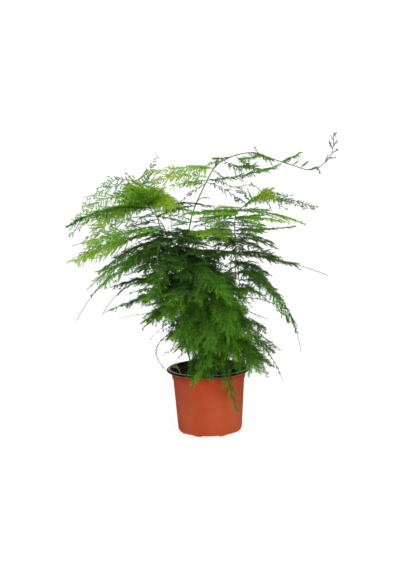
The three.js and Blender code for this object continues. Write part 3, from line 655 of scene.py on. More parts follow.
crumb_points, crumb_faces = model_crumb()
draw = np.random.default_rng(12)
radii = CRUMB_CIRCLE * np.sqrt(draw.random(CRUMB_COUNT))
turns = 2 * np.pi * draw.random(CRUMB_COUNT)
sizes = between(CRUMB_SIZES, draw.random(CRUMB_COUNT) ** 2.5)  # most are small
stretch = between(CRUMB_STRETCH, draw.random((CRUMB_COUNT, 1, 3)))
middles = np.stack([radii * np.cos(turns), radii * np.sin(turns), np.zeros(CRUMB_COUNT)], 1)
middles[:, 2] = [soil_height(x, y) + CRUMB_LIFT for x, y in middles[:, :2]]
spun = np.einsum("nij,nkj->nki", random_turns(draw, CRUMB_COUNT), crumb_points * stretch)
laid = middles[:, None, :] + sizes[:, None, None] * spun
crumbs = mesh_piece("soil_crumbs", laid.reshape(-1, 3),
                    copied(crumb_faces, len(crumb_points), CRUMB_COUNT), PEAT)
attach(crumbs, "root")
print("crumbs:", len(crumbs.data.polygons), "faces")

# %% [markdown]
# ## Where the stems and sprays are
# Each stem has its slot, its tone at the foot and the top, and one list of the points that its
# centre line runs through, the same list as in the solid model.
#
# A spray is one row of numbers: the place where it leaves its stem (3.5 is halfway between
# points 3 and 4), the x, y and z of its tip, how far its middle bows up, half its width, how
# many degrees its face turns to the front, its tone, and how lush it is. Up to three more
# may follow: the share of its rib that is bare at the tip, the share that is bare at the
# foot, and how far its middle bows to the right.
#
# The lower stems carry their sprays all round, like a bottle brush, so a short rule places
# those: fans, set round the stem at the golden ratio.

# %% Plan the stems
STEMS = {
    "climbing_stem": ("yellow_green", 0.4, 0.22, [
        (-8, 2, 62), (-8, 2, 90), (-12, 2, 146), (-20, 6, 210), (-23, 8, 274),
        (-19, 8, 302), (-11, 6, 325), (4, 2, 355), (16, -2, 375), (31, -6, 386),
        (52, -10, 393), (74, -14, 394), (97, -18, 385), (123, -20, 376), (144, -22, 369),
        (161, -22, 373), (176, -20, 387), (180, -18, 402), (181, -16, 419)]),
    "left_crown_stem": ("bright_green", 0.25, 0.2, [
        (-18, 9, 62), (-18, 9, 90), (-29, 14, 144), (-46, 20, 216), (-61, 26, 281),
        (-70, 26, 315), (-85, 22, 340), (-98, 16, 359)]),
    "left_middle_stem": ("fresh_green", 0.2, 0.15, [
        (-16, -8, 62), (-16, -8, 90), (-23, -16, 156), (-36, -24, 215), (-49, -30, 265),
        (-54, -32, 293), (-65, -32, 311), (-78, -30, 328)]),
    "pale_stem": ("fresh_green", 0.85, 0.9, [
        (-5, -13, 62), (-5, -13, 90), (-7, -22, 164), (-14, -28, 208), (-27, -30, 240),
        (-40, -26, 261), (-45, -20, 291), (-47, -14, 313), (-49, -8, 328)]),
    "right_crown_stem": ("bright_green", 0.4, 0.35, [
        (9, 7, 62), (9, 7, 90), (27, 12, 143), (39, 16, 193), (43, 18, 243), (43, 18, 293),
        (47, 16, 311), (61, 14, 322), (77, 12, 332), (91, 10, 341)]),
    "back_centre_stem": ("deep_green", 0.15, 0.3, [
        (0, 15, 62), (0, 15, 90), (7, 26, 148), (16, 38, 205), (20, 44, 248),
        (18, 46, 275), (14, 44, 302)]),
    "right_low_stem": ("mid_green", 0.15, 0.3, [
        (16, -5, 62), (16, -5, 90), (33, -14, 147), (46, -20, 198), (45, -22, 233),
        (49, -22, 248)]),
    "left_low_stem": ("mid_green", 0.15, 0.3, [
        (-25, -1, 62), (-25, -1, 90), (-32, -4, 147), (-40, -8, 191), (-48, -10, 220),
        (-55, -12, 246)]),
    "middle_stem": ("mid_green", 0.15, 0.3, [
        (1, 1, 62), (1, 1, 90), (0, 2, 153), (2, 0, 203), (1, -4, 244), (-3, -8, 269)]),
    "middle_right_stem": ("mid_green", 0.15, 0.3, [
        (17, -16, 62), (17, -16, 90), (20, -20, 142), (27, -18, 184), (25, -14, 212),
        (20, -12, 238)]),
    "front_middle_stem": ("fresh_green", 0.15, 0.3, [
        (-2, -25, 62), (-2, -25, 90), (2, -40, 139), (1, -52, 180), (-3, -58, 211)]),
    "front_left_stem": ("mid_green", 0.15, 0.3, [
        (-13, -20, 62), (-13, -20, 90), (-22, -32, 131), (-29, -44, 161), (-34, -50, 186)]),
    "front_right_stem": ("fresh_green", 0.15, 0.3, [
        (10, -21, 62), (10, -21, 90), (22, -36, 130), (33, -48, 165), (39, -54, 189)]),
    "right_skirt_stem": ("mid_green", 0.15, 0.3, [
        (24, 4, 62), (24, 4, 90), (33, 6, 122), (49, 6, 146), (61, 4, 163)]),
    "back_left_stem": ("mid_green", 0.15, 0.3, [
        (-11, 24, 62), (-11, 24, 90), (-22, 38, 147), (-38, 56, 204), (-59, 70, 255),
        (-81, 78, 281)]),
    "back_right_stem": ("mid_green", 0.15, 0.3, [
        (11, 24, 62), (11, 24, 90), (19, 38, 146), (32, 58, 194), (39, 72, 244),
        (46, 78, 273)]),
    "back_low_stem": ("mid_green", 0.15, 0.3, [
        (-1, 33, 62), (-1, 33, 90), (-2, 48, 130), (-4, 62, 162), (-7, 70, 185)]),
    "back_right_low_stem": ("mid_green", 0.15, 0.3, [
        (22, 17, 62), (22, 17, 90), (28, 34, 124), (45, 46, 148), (56, 52, 168)]),
    "back_left_low_stem": ("mid_green", 0.15, 0.3, [
        (-25, 17, 62), (-25, 17, 90), (-35, 34, 123), (-50, 48, 150), (-60, 56, 167)]),
    "young_shoot": ("yellow_green", 0.8, 0.9, [
        (-40, -12, 72), (-40, -12, 84), (-42, -14, 92), (-46, -17, 100)]),
}
print("stems:", len(STEMS))

# %% Plan the sprays
SPRAYS = {
    "climbing_stem": [
        (8.0, -79, 10, 369, 3, 13, 38, 0.8, 1.5), (7.9, -48, -34, 364, 5, 17, 38, 0.78, 1.3),
        (6.9, -43, -20, 352, 3, 10, 35, 0.8, 1.4), (7.3, -74, -10, 357, 5, 13, 38, 0.8, 1.6),
        (7.1, 102, -40, 376, -3, 10, 25, 0.4, 1.9), (9.7, 88, -50, 371, -6, 7, 25, 0.4, 2),
        (7.0, 51, 0, 328, 4, 9, 40, 0.24, 0.8), (11.1, 95, -24, 384, -1, 8, 25, 0.4, 2.8),
        (12.4, 131, -34, 392, -1, 9, 20, 0.45, 3), (14.8, 160, -26, 364, 0, 3, 20, 0.25, 2),
        (15.4, 172, -20, 387, 0, 3, 20, 0.24, 1.8), (15.8, 182, -20, 385, 0, 3, 20, 0.25, 1.8),
        (16.3, 185, -20, 395, 0, 3, 20, 0.3, 1.8), (16.6, 175, -20, 406, 0, 5, 30, 0.3, 2.2),
        (16.9, 185, -20, 407, 0, 5, 30, 0.3, 1.8), (17.3, 177, -18, 414, 0, 3, 30, 0.35, 2),
        (17.6, 184, -18, 419, 0, 3, 30, 0.3, 1.8), (9.4, 17, -20, 387, 0, 9, 25, 0.35, 2.2),
        (6.1, 6, -14, 334, 3, 4, 0, 0.19, 0.8), (5.9, -62, -10, 311, 3, 12, 15, 0.24, 2)],
    "left_crown_stem": [
        (6.8, -168, -10, 330, 8, 10, 35, 0.45, 1), (6.3, -176, -40, 313, 8, 12, 38, 0.5, 1.2),
        (6.3, -65, 30, 393, 0, 8, 45, 0.4, 0.9), (5.4, -143, -46, 309, 6, 16, 40, 0.66, 2.7),
        (5.2, -104, -40, 340, 3, 9, 50, 0.62, 2.4), (5.4, -94, -45, 352, 3, 9, 55, 0.58, 1.6),
        (5.4, -46, -45, 336, 3, 9, 55, 0.7, 2.4), (5.7, -38, -50, 325, 4, 12, 45, 0.76, 1.9),
        (5.8, -118, -30, 336, 4, 12, 45, 0.52, 1.6), (5.3, -153, -30, 287, 10, 14, 42, 0.45, 0.6),
        (5.2, -154, -50, 298, 8, 11, 42, 0.55, 0.9), (5.5, -45, -40, 322, 2, 11, 50, 0.72, 2),
        (5.1, -167, -20, 309, 8, 15, 42, 0.52, 1.3), (4.7, -121, 36, 302, 3, 6, 0, 0.5, 1),
        (6.7, -106, -20, 372, 0, 8, 45, 0.4, 0.5), (4.2, -157, 66, 268, 5, 12, 25, 0.4, 0.5)],
    "left_middle_stem": [
        (6.7, -189, -42, 300, 11, 13, 32, 0.46, 1.3, 0.1),
        (6.5, -183, -60, 291, 17, 9, 30, 0.3, 0.9), (5.3, -126, -84, 288, 2, 10, 20, 0.42, 0.9),
        (5.2, -161, -60, 272, 7, 15, 45, 0.52, 1, 0, 0.42),
        (4.9, -171, -66, 257, 6, 14, 45, 0.66, 1.5, 0, 0.42),
        (4.9, -185, -20, 273, 6, 8, 35, 0.45, 0.6, 0.1),
        (5.0, -164, -30, 285, 7, 11, 40, 0.44, 0.5),
        (4.7, -165, -50, 259, 8, 9, 35, 0.6, 1, 0, 0.5),
        (4.6, -189, -40, 253, 12, 9, 30, 0.25, 0.8, 0.12),
        (5.0, -152, -10, 253, 6, 15, 38, 0.55, 1, 0, 0.45),
        (4.5, -119, -50, 249, 2, 11, 0, 0.17, 1.1), (4.1, -141, -84, 242, 9, 13, 15, 0.32, 1.2),
        (3.9, -148, -60, 230, 11, 14, 20, 0.4, 1.1), (3.8, -136, -90, 226, 16, 15, 15, 0.41, 1.1),
        (3.8, -178, -60, 174, 19, 8, 0, 0.3, 0.8, 0.22, 0, -13),
        (4.3, -108, -90, 252, 1, 12, 10, 0.23, 1.2), (4.7, -35, -60, 286, 1, 8, 10, 0.17, 1.8),
        (4.0, -121, -80, 230, 18, 11, 15, 0.3, 1.1), (6.7, -43, -60, 326, 3, 12, 45, 0.65, 1.5),
        (6.0, -27, -70, 303, 3, 8, 0, 0.4, 0.9), (6.2, -88, -40, 309, 1, 5, 0, 0.4, 1),
        (5.4, -161, 30, 290, 7, 11, 35, 0.38, 0.5)],
    "pale_stem": [
        (7.8, 6, -22, 323, 4, 9, 10, 0.19, 1.5), (5.4, -7, -80, 273, 4, 12, 10, 0.19, 1.4),
        (5.1, -108, -94, 252, 12, 15, 0, 0.19, 1.2),
        (4.8, 167, -44, 225, 14, 9, 5, 0.24, 2.3, 0.22),
        (4.6, -60, -110, 244, 10, 16, 15, 0.19, 1.4), (4.2, -74, -112, 208, 20, 16, 0, 0.3, 1.2),
        (3.6, 28, -128, 205, 18, 18, 0, 0.35, 1.2), (4.0, 0, -110, 228, 10, 16, 15, 0.24, 1.4),
        (4.4, -76, -60, 228, 8, 17, 12, 0.19, 1.6)],
    "right_crown_stem": [
        (8.1, 156, 0, 316, 3, 7, 40, 0.25, 1.3), (7.8, 140, -30, 317, 4, 6, 30, 0.25, 0.9),
        (7.3, 49, 10, 348, 0, 8, 45, 0.25, 1.1), (7.0, 44, 20, 331, 1, 7, 35, 0.25, 0.9),
        (8.5, 54, 34, 346, 7, 5, 0, 0.19, 0.8), (6.3, -19, -24, 314, 1, 12, 15, 0.52, 2.2),
        (6.1, -11, 10, 311, 1, 11, 18, 0.5, 1.9), (6.5, 14, -40, 321, 1, 8, 20, 0.7, 1.3),
        (6.7, 68, -20, 332, 1, 9, 40, 0.5, 2), (6.1, 139, -12, 294, 6, 7, 0, 0.6, 1.9),
        (6.2, 120, 32, 292, 5, 6, 0, 0.5, 1.4), (6.2, 24, -46, 313, 1, 10, 15, 0.55, 2.4),
        (5.5, 70, -60, 306, 1, 11, 12, 0.5, 1.6), (5.4, 105, -54, 301, 3, 8, 10, 0.65, 1.8),
        (5.1, -12, 20, 293, 4, 9, 10, 0.35, 1), (5.1, 13, -60, 298, 2, 9, 15, 0.4, 1.4),
        (5.1, 78, -50, 296, 2, 9, 15, 0.45, 1.3), (4.9, 121, -34, 293, -3, 6, 0, 0.35, 1.6),
        (4.8, -17, -50, 288, 3, 11, 25, 0.5, 1.3), (4.8, 77, -60, 289, 2, 9, 15, 0.4, 1.7),
        (4.8, 78, 66, 278, 3, 10, 0, 0.24, 1), (4.7, -7, -30, 277, 4, 12, 15, 0.35, 1.4),
        (4.6, 100, -32, 262, 5, 6, 0, 0.24, 1.5), (4.5, 7, -60, 281, 3, 9, 10, 0.24, 1.9),
        (4.6, 0, -40, 274, 2, 9, 12, 0.3, 1.5), (4.4, 10, -40, 269, 2, 7, 10, 0.19, 1.2),
        (4.7, 95, 10, 266, 5, 8, 10, 0.24, 1.1), (4.5, 77, -64, 263, 4, 9, 0, 0.3, 1.6),
        (4.2, -20, -80, 265, 3, 13, 0, 0.19, 1.1), (4.2, 89, -50, 252, 3, 9, 10, 0.25, 1.9)],
    "back_centre_stem": [
        (4.8, -135, 64, 263, 16, 10, 0, 0.14, 1.2), (4.2, -146, 30, 235, 28, 18, 0, 0.17, 1.2),
        (5.8, -50, 64, 290, 3, 10, 0, 0.24, 0.9), (5.9, 85, 76, 288, 4, 10, 0, 0.24, 0.9),
        (4.6, 89, 98, 260, 6, 14, 0, 0.19, 1), (4.0, -69, 118, 229, 10, 16, 0, 0.14, 1.1),
        (5.0, -37, 90, 261, 10, 16, 0, 0.14, 1.4), (3.6, -30, 110, 204, 8, 16, 0, 0.14, 1.2),
        (3.3, -25, 120, 184, 12, 18, 0, 0.14, 1.2)],
    "right_low_stem": [
        (4.7, 129, -42, 119, 11, 7, 10, 0.3, 1.8, 0.17, 0, 15),
        (4.4, 110, -52, 167, 6, 10, 10, 0.32, 1.6, 0, 0, 8),
        (4.5, 97, -72, 182, 8, 9, 10, 0.3, 1.5, 0, 0, 7),
        (2.9, 98, -52, 186, 4, 5, 10, 0.3, 0.8, 0.1),
        (2.7, 86, -12, 161, -2, 3, 0, 0.14, 0.6, 0.2), (3.9, 86, 74, 210, 4, 12, 0, 0.17, 1.1),
        (3.2, 24, -128, 168, 18, 18, 0, 0.35, 1.2), (2.4, 69, -84, 137, 8, 10, 10, 0.3, 1.1)],
    "left_low_stem": [
        (4.3, -132, -50, 217, 3, 9, 10, 0.19, 1.3, 0.1),
        (4.2, -145, -40, 178, 15, 5, 0, 0.16, 1.2, 0.34, 0, -9),
        (3.5, -138, -82, 188, 3, 7, 0, 0.3, 1, 0.1), (3.5, -104, -60, 211, 3, 8, 10, 0.25, 0.9),
        (3.6, -62, -80, 220, 2, 9, 10, 0.24, 1.4), (4.0, -95, -60, 223, 3, 9, 10, 0.28, 1.5),
        (3.5, -108, -50, 193, 5, 11, 10, 0.28, 1.3), (3.4, -83, -90, 203, 3, 13, 10, 0.35, 1.4),
        (2.8, -80, -90, 176, 4, 12, 10, 0.34, 1.4), (2.9, -81, -60, 193, 3, 8, 10, 0.33, 1.4),
        (2.6, -61, -70, 166, 3, 8, 10, 0.28, 1.1), (2.7, -89, -60, 160, 6, 7, 0, 0.35, 0.9),
        (2.5, -121, -20, 170, 4, 4, 0, 0.6, 0.6),
        (2.1, -61, -30, 97, 4, 3, 0, 0.3, 1.1, 0, 0, -24),
        (2.3, -80, -40, 142, 7, 3, 0, 0.24, 0.5), (1.6, -63, -40, 119, 4, 4, 0, 0.35, 0.5)],
    "middle_stem": [
        (4.1, -56, -60, 267, 2, 13, 15, 0.19, 1.6), (3.9, -52, -90, 260, 1, 13, 15, 0.21, 1.5),
        (4.2, -56, -50, 271, 1, 12, 15, 0.16, 1.6), (3.9, -42, -100, 249, 3, 12, 12, 0.21, 1.7),
        (3.3, 30, -100, 203, 5, 11, 10, 0.25, 1.2), (3.7, -29, -100, 235, 4, 15, 10, 0.19, 1.4),
        (3.6, -49, -70, 221, 7, 18, 10, 0.19, 1.5), (3.3, -46, -80, 208, 14, 18, 15, 0.21, 1.4),
        (3.2, -11, -130, 209, 14, 18, 15, 0.24, 1.3)],
    "front_middle_stem": [
        (2.8, -32, -104, 74, 6, 7, 0, 0.42, 2.4, 0.14, 0, 13),
        (2.2, -13, -95, 141, 6, 12, 15, 0.3, 1.3), (3.6, -62, -100, 182, 6, 14, 10, 0.36, 1.4),
        (3.5, -48, -120, 187, 10, 16, 10, 0.32, 1.4), (4.0, -45, -110, 204, 10, 16, 10, 0.3, 1.4)],
    "front_right_stem": [
        (2.5, 37, -96, 51, 8, 9, 0, 0.3, 1.15, 0, 0, -9),
        (2.7, 57, -84, 102, 12, 12, 0, 0.38, 1.3, 0, 0, 6),
        (2.3, 70, -66, 97, 4, 10, 10, 0.36, 1.5, 0, 0, 4),
        (2.4, 32, -100, 130, 8, 15, 10, 0.35, 1.3)],
    "right_skirt_stem": [
        (2.6, 105, -20, 72, 14, 7, 0, 0.3, 0.7, 0.1, 0, 6),
        (3.2, 105, -6, 113, 3, 6, 0, 0.25, 0.6, 0.2),
        (2.3, 80, -52, 87, 12, 9, 0, 0.3, 0.9, 0, 0, 6), (2.9, 91, -34, 117, 3, 10, 10, 0.32, 1.2),
        (2.3, 88, -40, 99, 3, 11, 10, 0.3, 1.2)]}
print("sprays placed one by one:", sum(len(rows) for rows in SPRAYS.values()))

# %% Plan the fans
# Stem, count, first and last place, heading, spread, reach, drop, half width, tone, lushness.
FANS = [
    ("front_middle_stem", 8, 2.1, 3.9, -78, 44, 72, 34, 15, 0.33, 1.2),
    ("front_right_stem", 6, 1.8, 3.9, -96, 46, 56, 30, 15, 0.3, 1.15),
    ("front_left_stem", 6, 1.7, 3.9, -65, 40, 56, 28, 14, 0.34, 1.1),
    ("right_skirt_stem", 2, 2.8, 3.9, -60, 30, 28, 18, 11, 0.25, 1.0),
    ("middle_stem", 7, 2.6, 4.6, -100, 56, 80, 38, 16, 0.2, 1.2),
    ("middle_right_stem", 7, 2.0, 4.4, -108, 54, 70, 34, 15, 0.24, 1.0),
    ("back_left_stem", 6, 2.4, 4.6, 82, 55, 90, 44, 17, 0.12, 1.05),
    ("back_right_stem", 6, 2.4, 4.6, 96, 55, 90, 44, 17, 0.12, 1.05),
    ("back_low_stem", 5, 1.9, 3.9, 85, 42, 84, 36, 17, 0.15, 1.1),
    ("back_right_low_stem", 4, 2.0, 3.9, 124, 30, 66, 30, 13, 0.15, 1.0),
    ("back_left_low_stem", 4, 2.0, 3.2, 84, 30, 50, 20, 12, 0.18, 1.0),
    ("back_centre_stem", 3, 3.0, 3.9, 96, 50, 90, 40, 17, 0.08, 1.0),
    ("young_shoot", 2, 2.2, 2.9, 200, 60, 8, -4, 3, 0.8, 1.0),
]
print("sprays placed in fans:", sum(fan[1] for fan in FANS))

# %% [markdown]
# Between the long sprays sit short ones, which fill the crown and the tiers. Solids of that
# size would only cross their neighbours, so these are in the fine model alone. They have the
# same kind of row as the long ones.

# %% Plan the small sprays
SMALL_SPRAYS = {
    "climbing_stem": [
        (7.1, -27, -20, 354, 1, 8, 30, 0.6, 1.8), (6.9, -33, -10, 328, 2, 6, 20, 0.2, 0.7),
        (8.9, 70, -36, 379, -7, 10, 25, 0.4, 1.9), (7.2, 37, -10, 349, 2, 6, 30, 0.26, 1.2),
        (7.8, 29, 0, 360, 1, 5, 20, 0.19, 1.2), (11.4, 55, -26, 386, 0, 8, 28, 0.5, 2.4),
        (10.5, 82, -20, 390, 1, 6, 25, 0.45, 2.2), (11.1, 73, -10, 402, 0, 3, 0, 0.19, 1),
        (13.0, 131, -30, 383, 0, 3, 0, 0.3, 1.2), (13.5, 142, -30, 380, 0, 6, 20, 0.4, 2.3),
        (14.0, 160, -28, 373, 0, 4, 20, 0.3, 2), (8.8, -4, 0, 375, 1, 8, 30, 0.45, 1.6)],
    "left_crown_stem": [
        (6.9, -148, 10, 351, 8, 13, 35, 0.42, 1), (5.4, -32, -10, 326, 3, 9, 45, 0.7, 2.4),
        (5.3, -125, -30, 319, 5, 10, 55, 0.62, 2.6), (5.4, -117, -24, 331, 4, 10, 55, 0.54, 2.6),
        (5.3, -110, -20, 346, 4, 10, 50, 0.52, 1.6), (5.5, -98, -30, 353, 4, 12, 45, 0.55, 1.8),
        (5.1, -87, -50, 359, 2, 15, 22, 0.56, 2.2), (5.4, -59, -36, 348, 2, 13, 25, 0.6, 1.8),
        (5.3, -72, -46, 355, 1, 13, 8, 0.58, 2.2), (5.7, -101, -50, 350, 2, 13, 45, 0.54, 2),
        (5.7, -56, 0, 329, 2, 9, 50, 0.7, 2.4), (6.2, -51, -20, 337, 3, 10, 50, 0.64, 2),
        (4.6, -102, 20, 295, 1, 7, 10, 0.14, 1.2), (6.5, -63, 10, 360, 2, 10, 50, 0.55, 0.9),
        (6.5, -70, -20, 371, 0, 7, 50, 0.5, 0.8), (6.8, -79, -10, 373, 0, 7, 45, 0.45, 0.7),
        (6.6, -98, 0, 370, 0, 5, 40, 0.8, 0.7)],
    "left_middle_stem": [
        (5.2, -159, -56, 277, 6, 13, 45, 0.6, 2.2, 0, 0.52),
        (5.0, -155, -40, 263, 6, 12, 45, 0.62, 2, 0, 0.55),
        (4.9, -177, -50, 255, 6, 8, 45, 0.85, 2.2, 0, 0.7),
        (4.7, -78, -40, 282, 1, 9, 10, 0.21, 1.8), (4.1, -29, -60, 266, 1, 9, 10, 0.16, 1.8),
        (4.5, -81, -30, 274, 1, 10, 10, 0.17, 1.8), (4.0, -104, -30, 247, 7, 15, 15, 0.19, 1.4),
        (5.0, -117, -66, 276, 4, 3, 0, 0.15, 1.2), (4.8, -112, -70, 268, 4, 3, 0, 0.15, 1.2),
        (4.4, -128, -40, 257, 6, 3, 0, 0.16, 1.2), (5.1, -92, -76, 293, 1, 6, 40, 0.55, 1.8),
        (4.9, -103, -30, 281, 5, 8, 0, 0.17, 1.3),
        (6.7, -186, -44, 303, 11, 7, 32, 0.1, 2.2, 0, 0.8)],
    "pale_stem": [
        (7.3, -78, 30, 307, 3, 7, 0, 0.3, 1), (7.4, -14, -40, 315, 2, 10, 15, 0.5, 1.4),
        (6.9, -18, -40, 305, 2, 7, 15, 0.35, 0.9), (6.1, -7, -40, 282, 3, 8, 10, 0.25, 1.2),
        (5.8, -15, -50, 279, 3, 13, 8, 0.17, 1.7), (5.9, -66, -20, 281, 1, 9, 10, 0.15, 1.7),
        (6.0, -19, -30, 289, 1, 8, 10, 0.17, 1.7), (5.6, -9, -66, 282, 3, 11, 12, 0.19, 1.6),
        (5.6, -77, -60, 274, 4, 13, 5, 0.17, 1.5), (5.4, -64, -30, 266, 1, 10, 10, 0.15, 1.9),
        (5.3, 8, -30, 256, 3, 12, 10, 0.19, 1.6), (5.2, -18, -70, 258, 3, 14, 15, 0.17, 1.7),
        (4.4, -57, -50, 242, 2, 14, 10, 0.19, 1.6), (4.9, -85, -60, 244, 6, 16, 12, 0.21, 1.6)],
    "right_crown_stem": [
        (7.5, 94, -20, 343, 2, 8, 50, 0.85, 2.4), (7.7, 89, 0, 343, 1, 7, 50, 0.75, 2.4),
        (7.6, 97, -26, 332, 2, 8, 45, 0.9, 2), (8.5, 111, -20, 333, 2, 6, 40, 0.45, 1.2),
        (7.4, 80, -30, 335, 1, 8, 50, 0.75, 2.4), (8.3, 113, -24, 315, 5, 6, 40, 0.25, 0.5),
        (8.1, 93, -10, 314, 2, 4, 20, 0.19, 0.9, 0, 0, 3), (7.5, 62, 0, 343, 0, 6, 45, 0.45, 1.8),
        (6.3, 88, -30, 315, 1, 11, 15, 0.5, 1.6), (5.6, -6, 0, 305, 1, 12, 15, 0.55, 2.1),
        (4.7, 22, -36, 281, 1, 9, 15, 0.6, 2), (4.8, -4, -66, 286, 2, 9, 30, 0.9, 1.7),
        (4.8, -2, -20, 286, 3, 10, 18, 0.7, 1.4), (8.3, 121, -20, 334, 2, 6, 40, 0.3, 0.6),
        (5.8, 2, -30, 303, 2, 9, 20, 0.5, 1.8), (5.3, 79, -40, 310, 1, 9, 20, 0.45, 1.6),
        (5.0, 5, -60, 292, 2, 9, 20, 0.4, 1.6), (5.0, 91, -20, 289, 1, 7, 15, 0.35, 1.4),
        (4.7, 71, -20, 277, 1, 9, 15, 0.25, 1.4)],
    "right_low_stem": [
        (5.0, 20, -10, 235, 2, 8, 15, 0.19, 0.9), (4.5, 26, 10, 220, 2, 8, 10, 0.22, 0.8),
        (4.5, 70, -60, 208, 3, 12, 10, 0.3, 0.7, 0, 0, 2), (4.1, 78, -50, 214, 2, 10, 10, 0.3, 1),
        (3.5, 82, -64, 214, 5, 10, 0, 0.25, 0.8), (3.9, 22, -60, 221, 3, 10, 10, 0.24, 1.3),
        (3.4, 64, -70, 207, 3, 12, 10, 0.25, 1), (3.2, 81, -60, 197, 4, 10, 10, 0.28, 0.8)],
    "left_low_stem": [
        (2.2, -62, -40, 153, 3, 4, 0, 0.19, 0.8), (2.1, -70, -30, 132, 5, 3, 0, 0.24, 0.6),
        (1.5, -48, -34, 102, 4, 3, 0, 0.5, 0.5)],
    "middle_stem": [
        (4.0, 31, -40, 239, 3, 8, 10, 0.18, 0.9), (3.7, -39, -20, 221, 6, 18, 10, 0.11, 1),
        (3.5, 41, -30, 198, 8, 18, 10, 0.11, 1), (3.5, 50, -60, 218, 7, 12, 10, 0.19, 1.3)],
    "front_middle_stem": [
        (2.3, -17, -80, 118, 6, 10, 10, 0.28, 1.3), (2.8, 9, -112, 162, 8, 16, 15, 0.35, 1.3)],
    "front_right_stem": [
        (2.1, 44, -80, 111, 8, 15, 10, 0.25, 1.3), (2.1, 74, -60, 115, 6, 13, 10, 0.25, 1.3),
        (2.2, 65, -60, 104, 7, 12, 10, 0.28, 0.8, 0, 0, 2),
        (2.1, 10, -88, 112, 6, 12, 10, 0.27, 0.8)]}
print("small sprays:", sum(len(rows) for rows in SMALL_SPRAYS.values()))

# %% [markdown]
# ## Lines through the plan
# A stem bends smoothly through its points, and a rib is a straight line with a bow added. The
# formulas are those of the solid model, down to its way of drawing numbers, so each spray
# here lies on the solid that it stands for.

# %% Follow the stems and ribs
SERIES_FACTOR, SERIES_LIMIT = 16807, 2147483647


def seeded(seed):
    """The same simple number series that the solid model draws from."""
    state = seed
    while True:
        state = (state * SERIES_FACTOR) % SERIES_LIMIT
        yield state / SERIES_LIMIT


def along_stem(points, place):
    """Smooth curve through a stem's points; place 2.5 lies between points 2 and 3."""
    points = np.asarray(points, float)
    last = len(points) - 1
    i = min(max(math.floor(place), 0), last - 1)
    t = place - i
    b, c = points[i], points[i + 1]
    a = points[i - 1] if i > 0 else 2 * points[0] - points[1]
    d = points[i + 2] if i + 2 <= last else 2 * points[last] - points[last - 1]
    return b + 0.5 * t * (c - a + t * (2 * a - 5 * b + 4 * c - d
                                       + t * (3 * b - a - 3 * c + d)))


def rib_points(spray, u):
    u = np.asarray(u, float)[:, None]
    straight = spray["root"] + (spray["tip"] - spray["root"]) * u
    return straight + spray["bow"] * 4 * u * (1 - u)


def rib_length(spray):
    line = rib_points(spray, np.linspace(0, 1, 21))
    return float(np.linalg.norm(np.diff(line, axis=0), axis=1).sum())


print("the climbing stem ends at", STEMS["climbing_stem"][3][-1])

# %% List every spray
GOLDEN = 0.618034
FAN_BOW = 0.11  # share of its length that a fan's rib bows up
FAN_LENGTH, FAN_DROP = (0.85, 0.3), (0.7, 0.6)  # least share, and how much a draw adds
UP = np.array([0.0, 0.0, 1.0])


def one_spray(stem, root, tip, bow, half_width, facing, tone, lushness, bare_tip=0,
              bare_foot=0):
    return {"stem": stem, "root": root, "tip": np.array(tip, float),
            "bow": np.array(bow, float), "half_width": half_width, "facing": facing,
            "tone": tone, "lushness": lushness, "bare_tip": bare_tip, "bare_foot": bare_foot}


def listed_sprays(table):
    for stem in STEMS:
        for row in table.get(stem, []):
            place, x, y, z, bow, half_width, facing, tone, lushness = row[:9]
            bare_tip, bare_foot, sideways = (*row[9:], 0, 0, 0)[:3]
            yield one_spray(stem, along_stem(STEMS[stem][3], place), (x, y, z),
                            (sideways, 0, bow), half_width, facing, tone, lushness,
                            bare_tip, bare_foot)


def fan_sprays(stem, count, first, last, heading, spread, reach, drop, half_width, tone,
               lushness):
    """Sprays at even steps up a stem, swung about the fan's heading by the golden ratio."""
    numbers = seeded(101 + count * 7 + round(reach))
    for k in range(count):
        place = first + (last - first) * (k / (count - 1))
        turn = math.radians(heading + spread * (2 * ((0.3 + k * GOLDEN) % 1) - 1))
        length = reach * (FAN_LENGTH[0] + FAN_LENGTH[1] * next(numbers))
        fall = drop * (FAN_DROP[0] + FAN_DROP[1] * next(numbers))
        root = along_stem(STEMS[stem][3], place)
        away = np.array([length * math.cos(turn), length * math.sin(turn), -fall])
        yield one_spray(stem, root, root + away, (0, 0, FAN_BOW * length), half_width, 0,
                        tone, lushness)


planned = [*listed_sprays(SPRAYS), *(spray for fan in FANS for spray in fan_sprays(*fan)),
           *listed_sprays(SMALL_SPRAYS)]
print("sprays planned:", len(planned))

# %% [markdown]
# No spray may run through another stem, so each one is turned a few degrees about its root
# until it is clear of all that was placed before it, or else to the turn with the most room,
# exactly as in the solid model.

# %% Turn each spray clear of its neighbours
RIB_CLEARANCE = 3.2
RIB_SAMPLE = 2.0  # how far apart a rib's sample points are
STEM_SAMPLE = 0.04  # the same for a stem, in places along it
TURNS = [0, 3, -3, 6, -6, 9, -9, 12, -12, 16, -16, 20, -20, 25, -25]


def turned(spray, degrees):
    c, s = math.cos(math.radians(degrees)), math.sin(math.radians(degrees))
    x, y, z = spray["tip"] - spray["root"]
    reach = np.array([x * c - y * s, x * s + y * c, z])
    return {**spray, "tip": spray["root"] + reach}


def rib_samples(spray):
    count = math.ceil(rib_length(spray) / RIB_SAMPLE)
    return rib_points(spray, (np.arange(count - 1) + 2) / count)


def stem_samples(points):
    places, place = [], 1.0
    while place <= len(points) - 1:
        places.append(place)
        place += STEM_SAMPLE
    return np.array([along_stem(points, place) for place in places])


def nearest(samples, stem):
    others = np.concatenate([points for owner, points in taken if owner != stem])
    gaps = samples[:, None, :] - others[None, :, :]
    return math.sqrt((gaps ** 2).sum(axis=2).min())


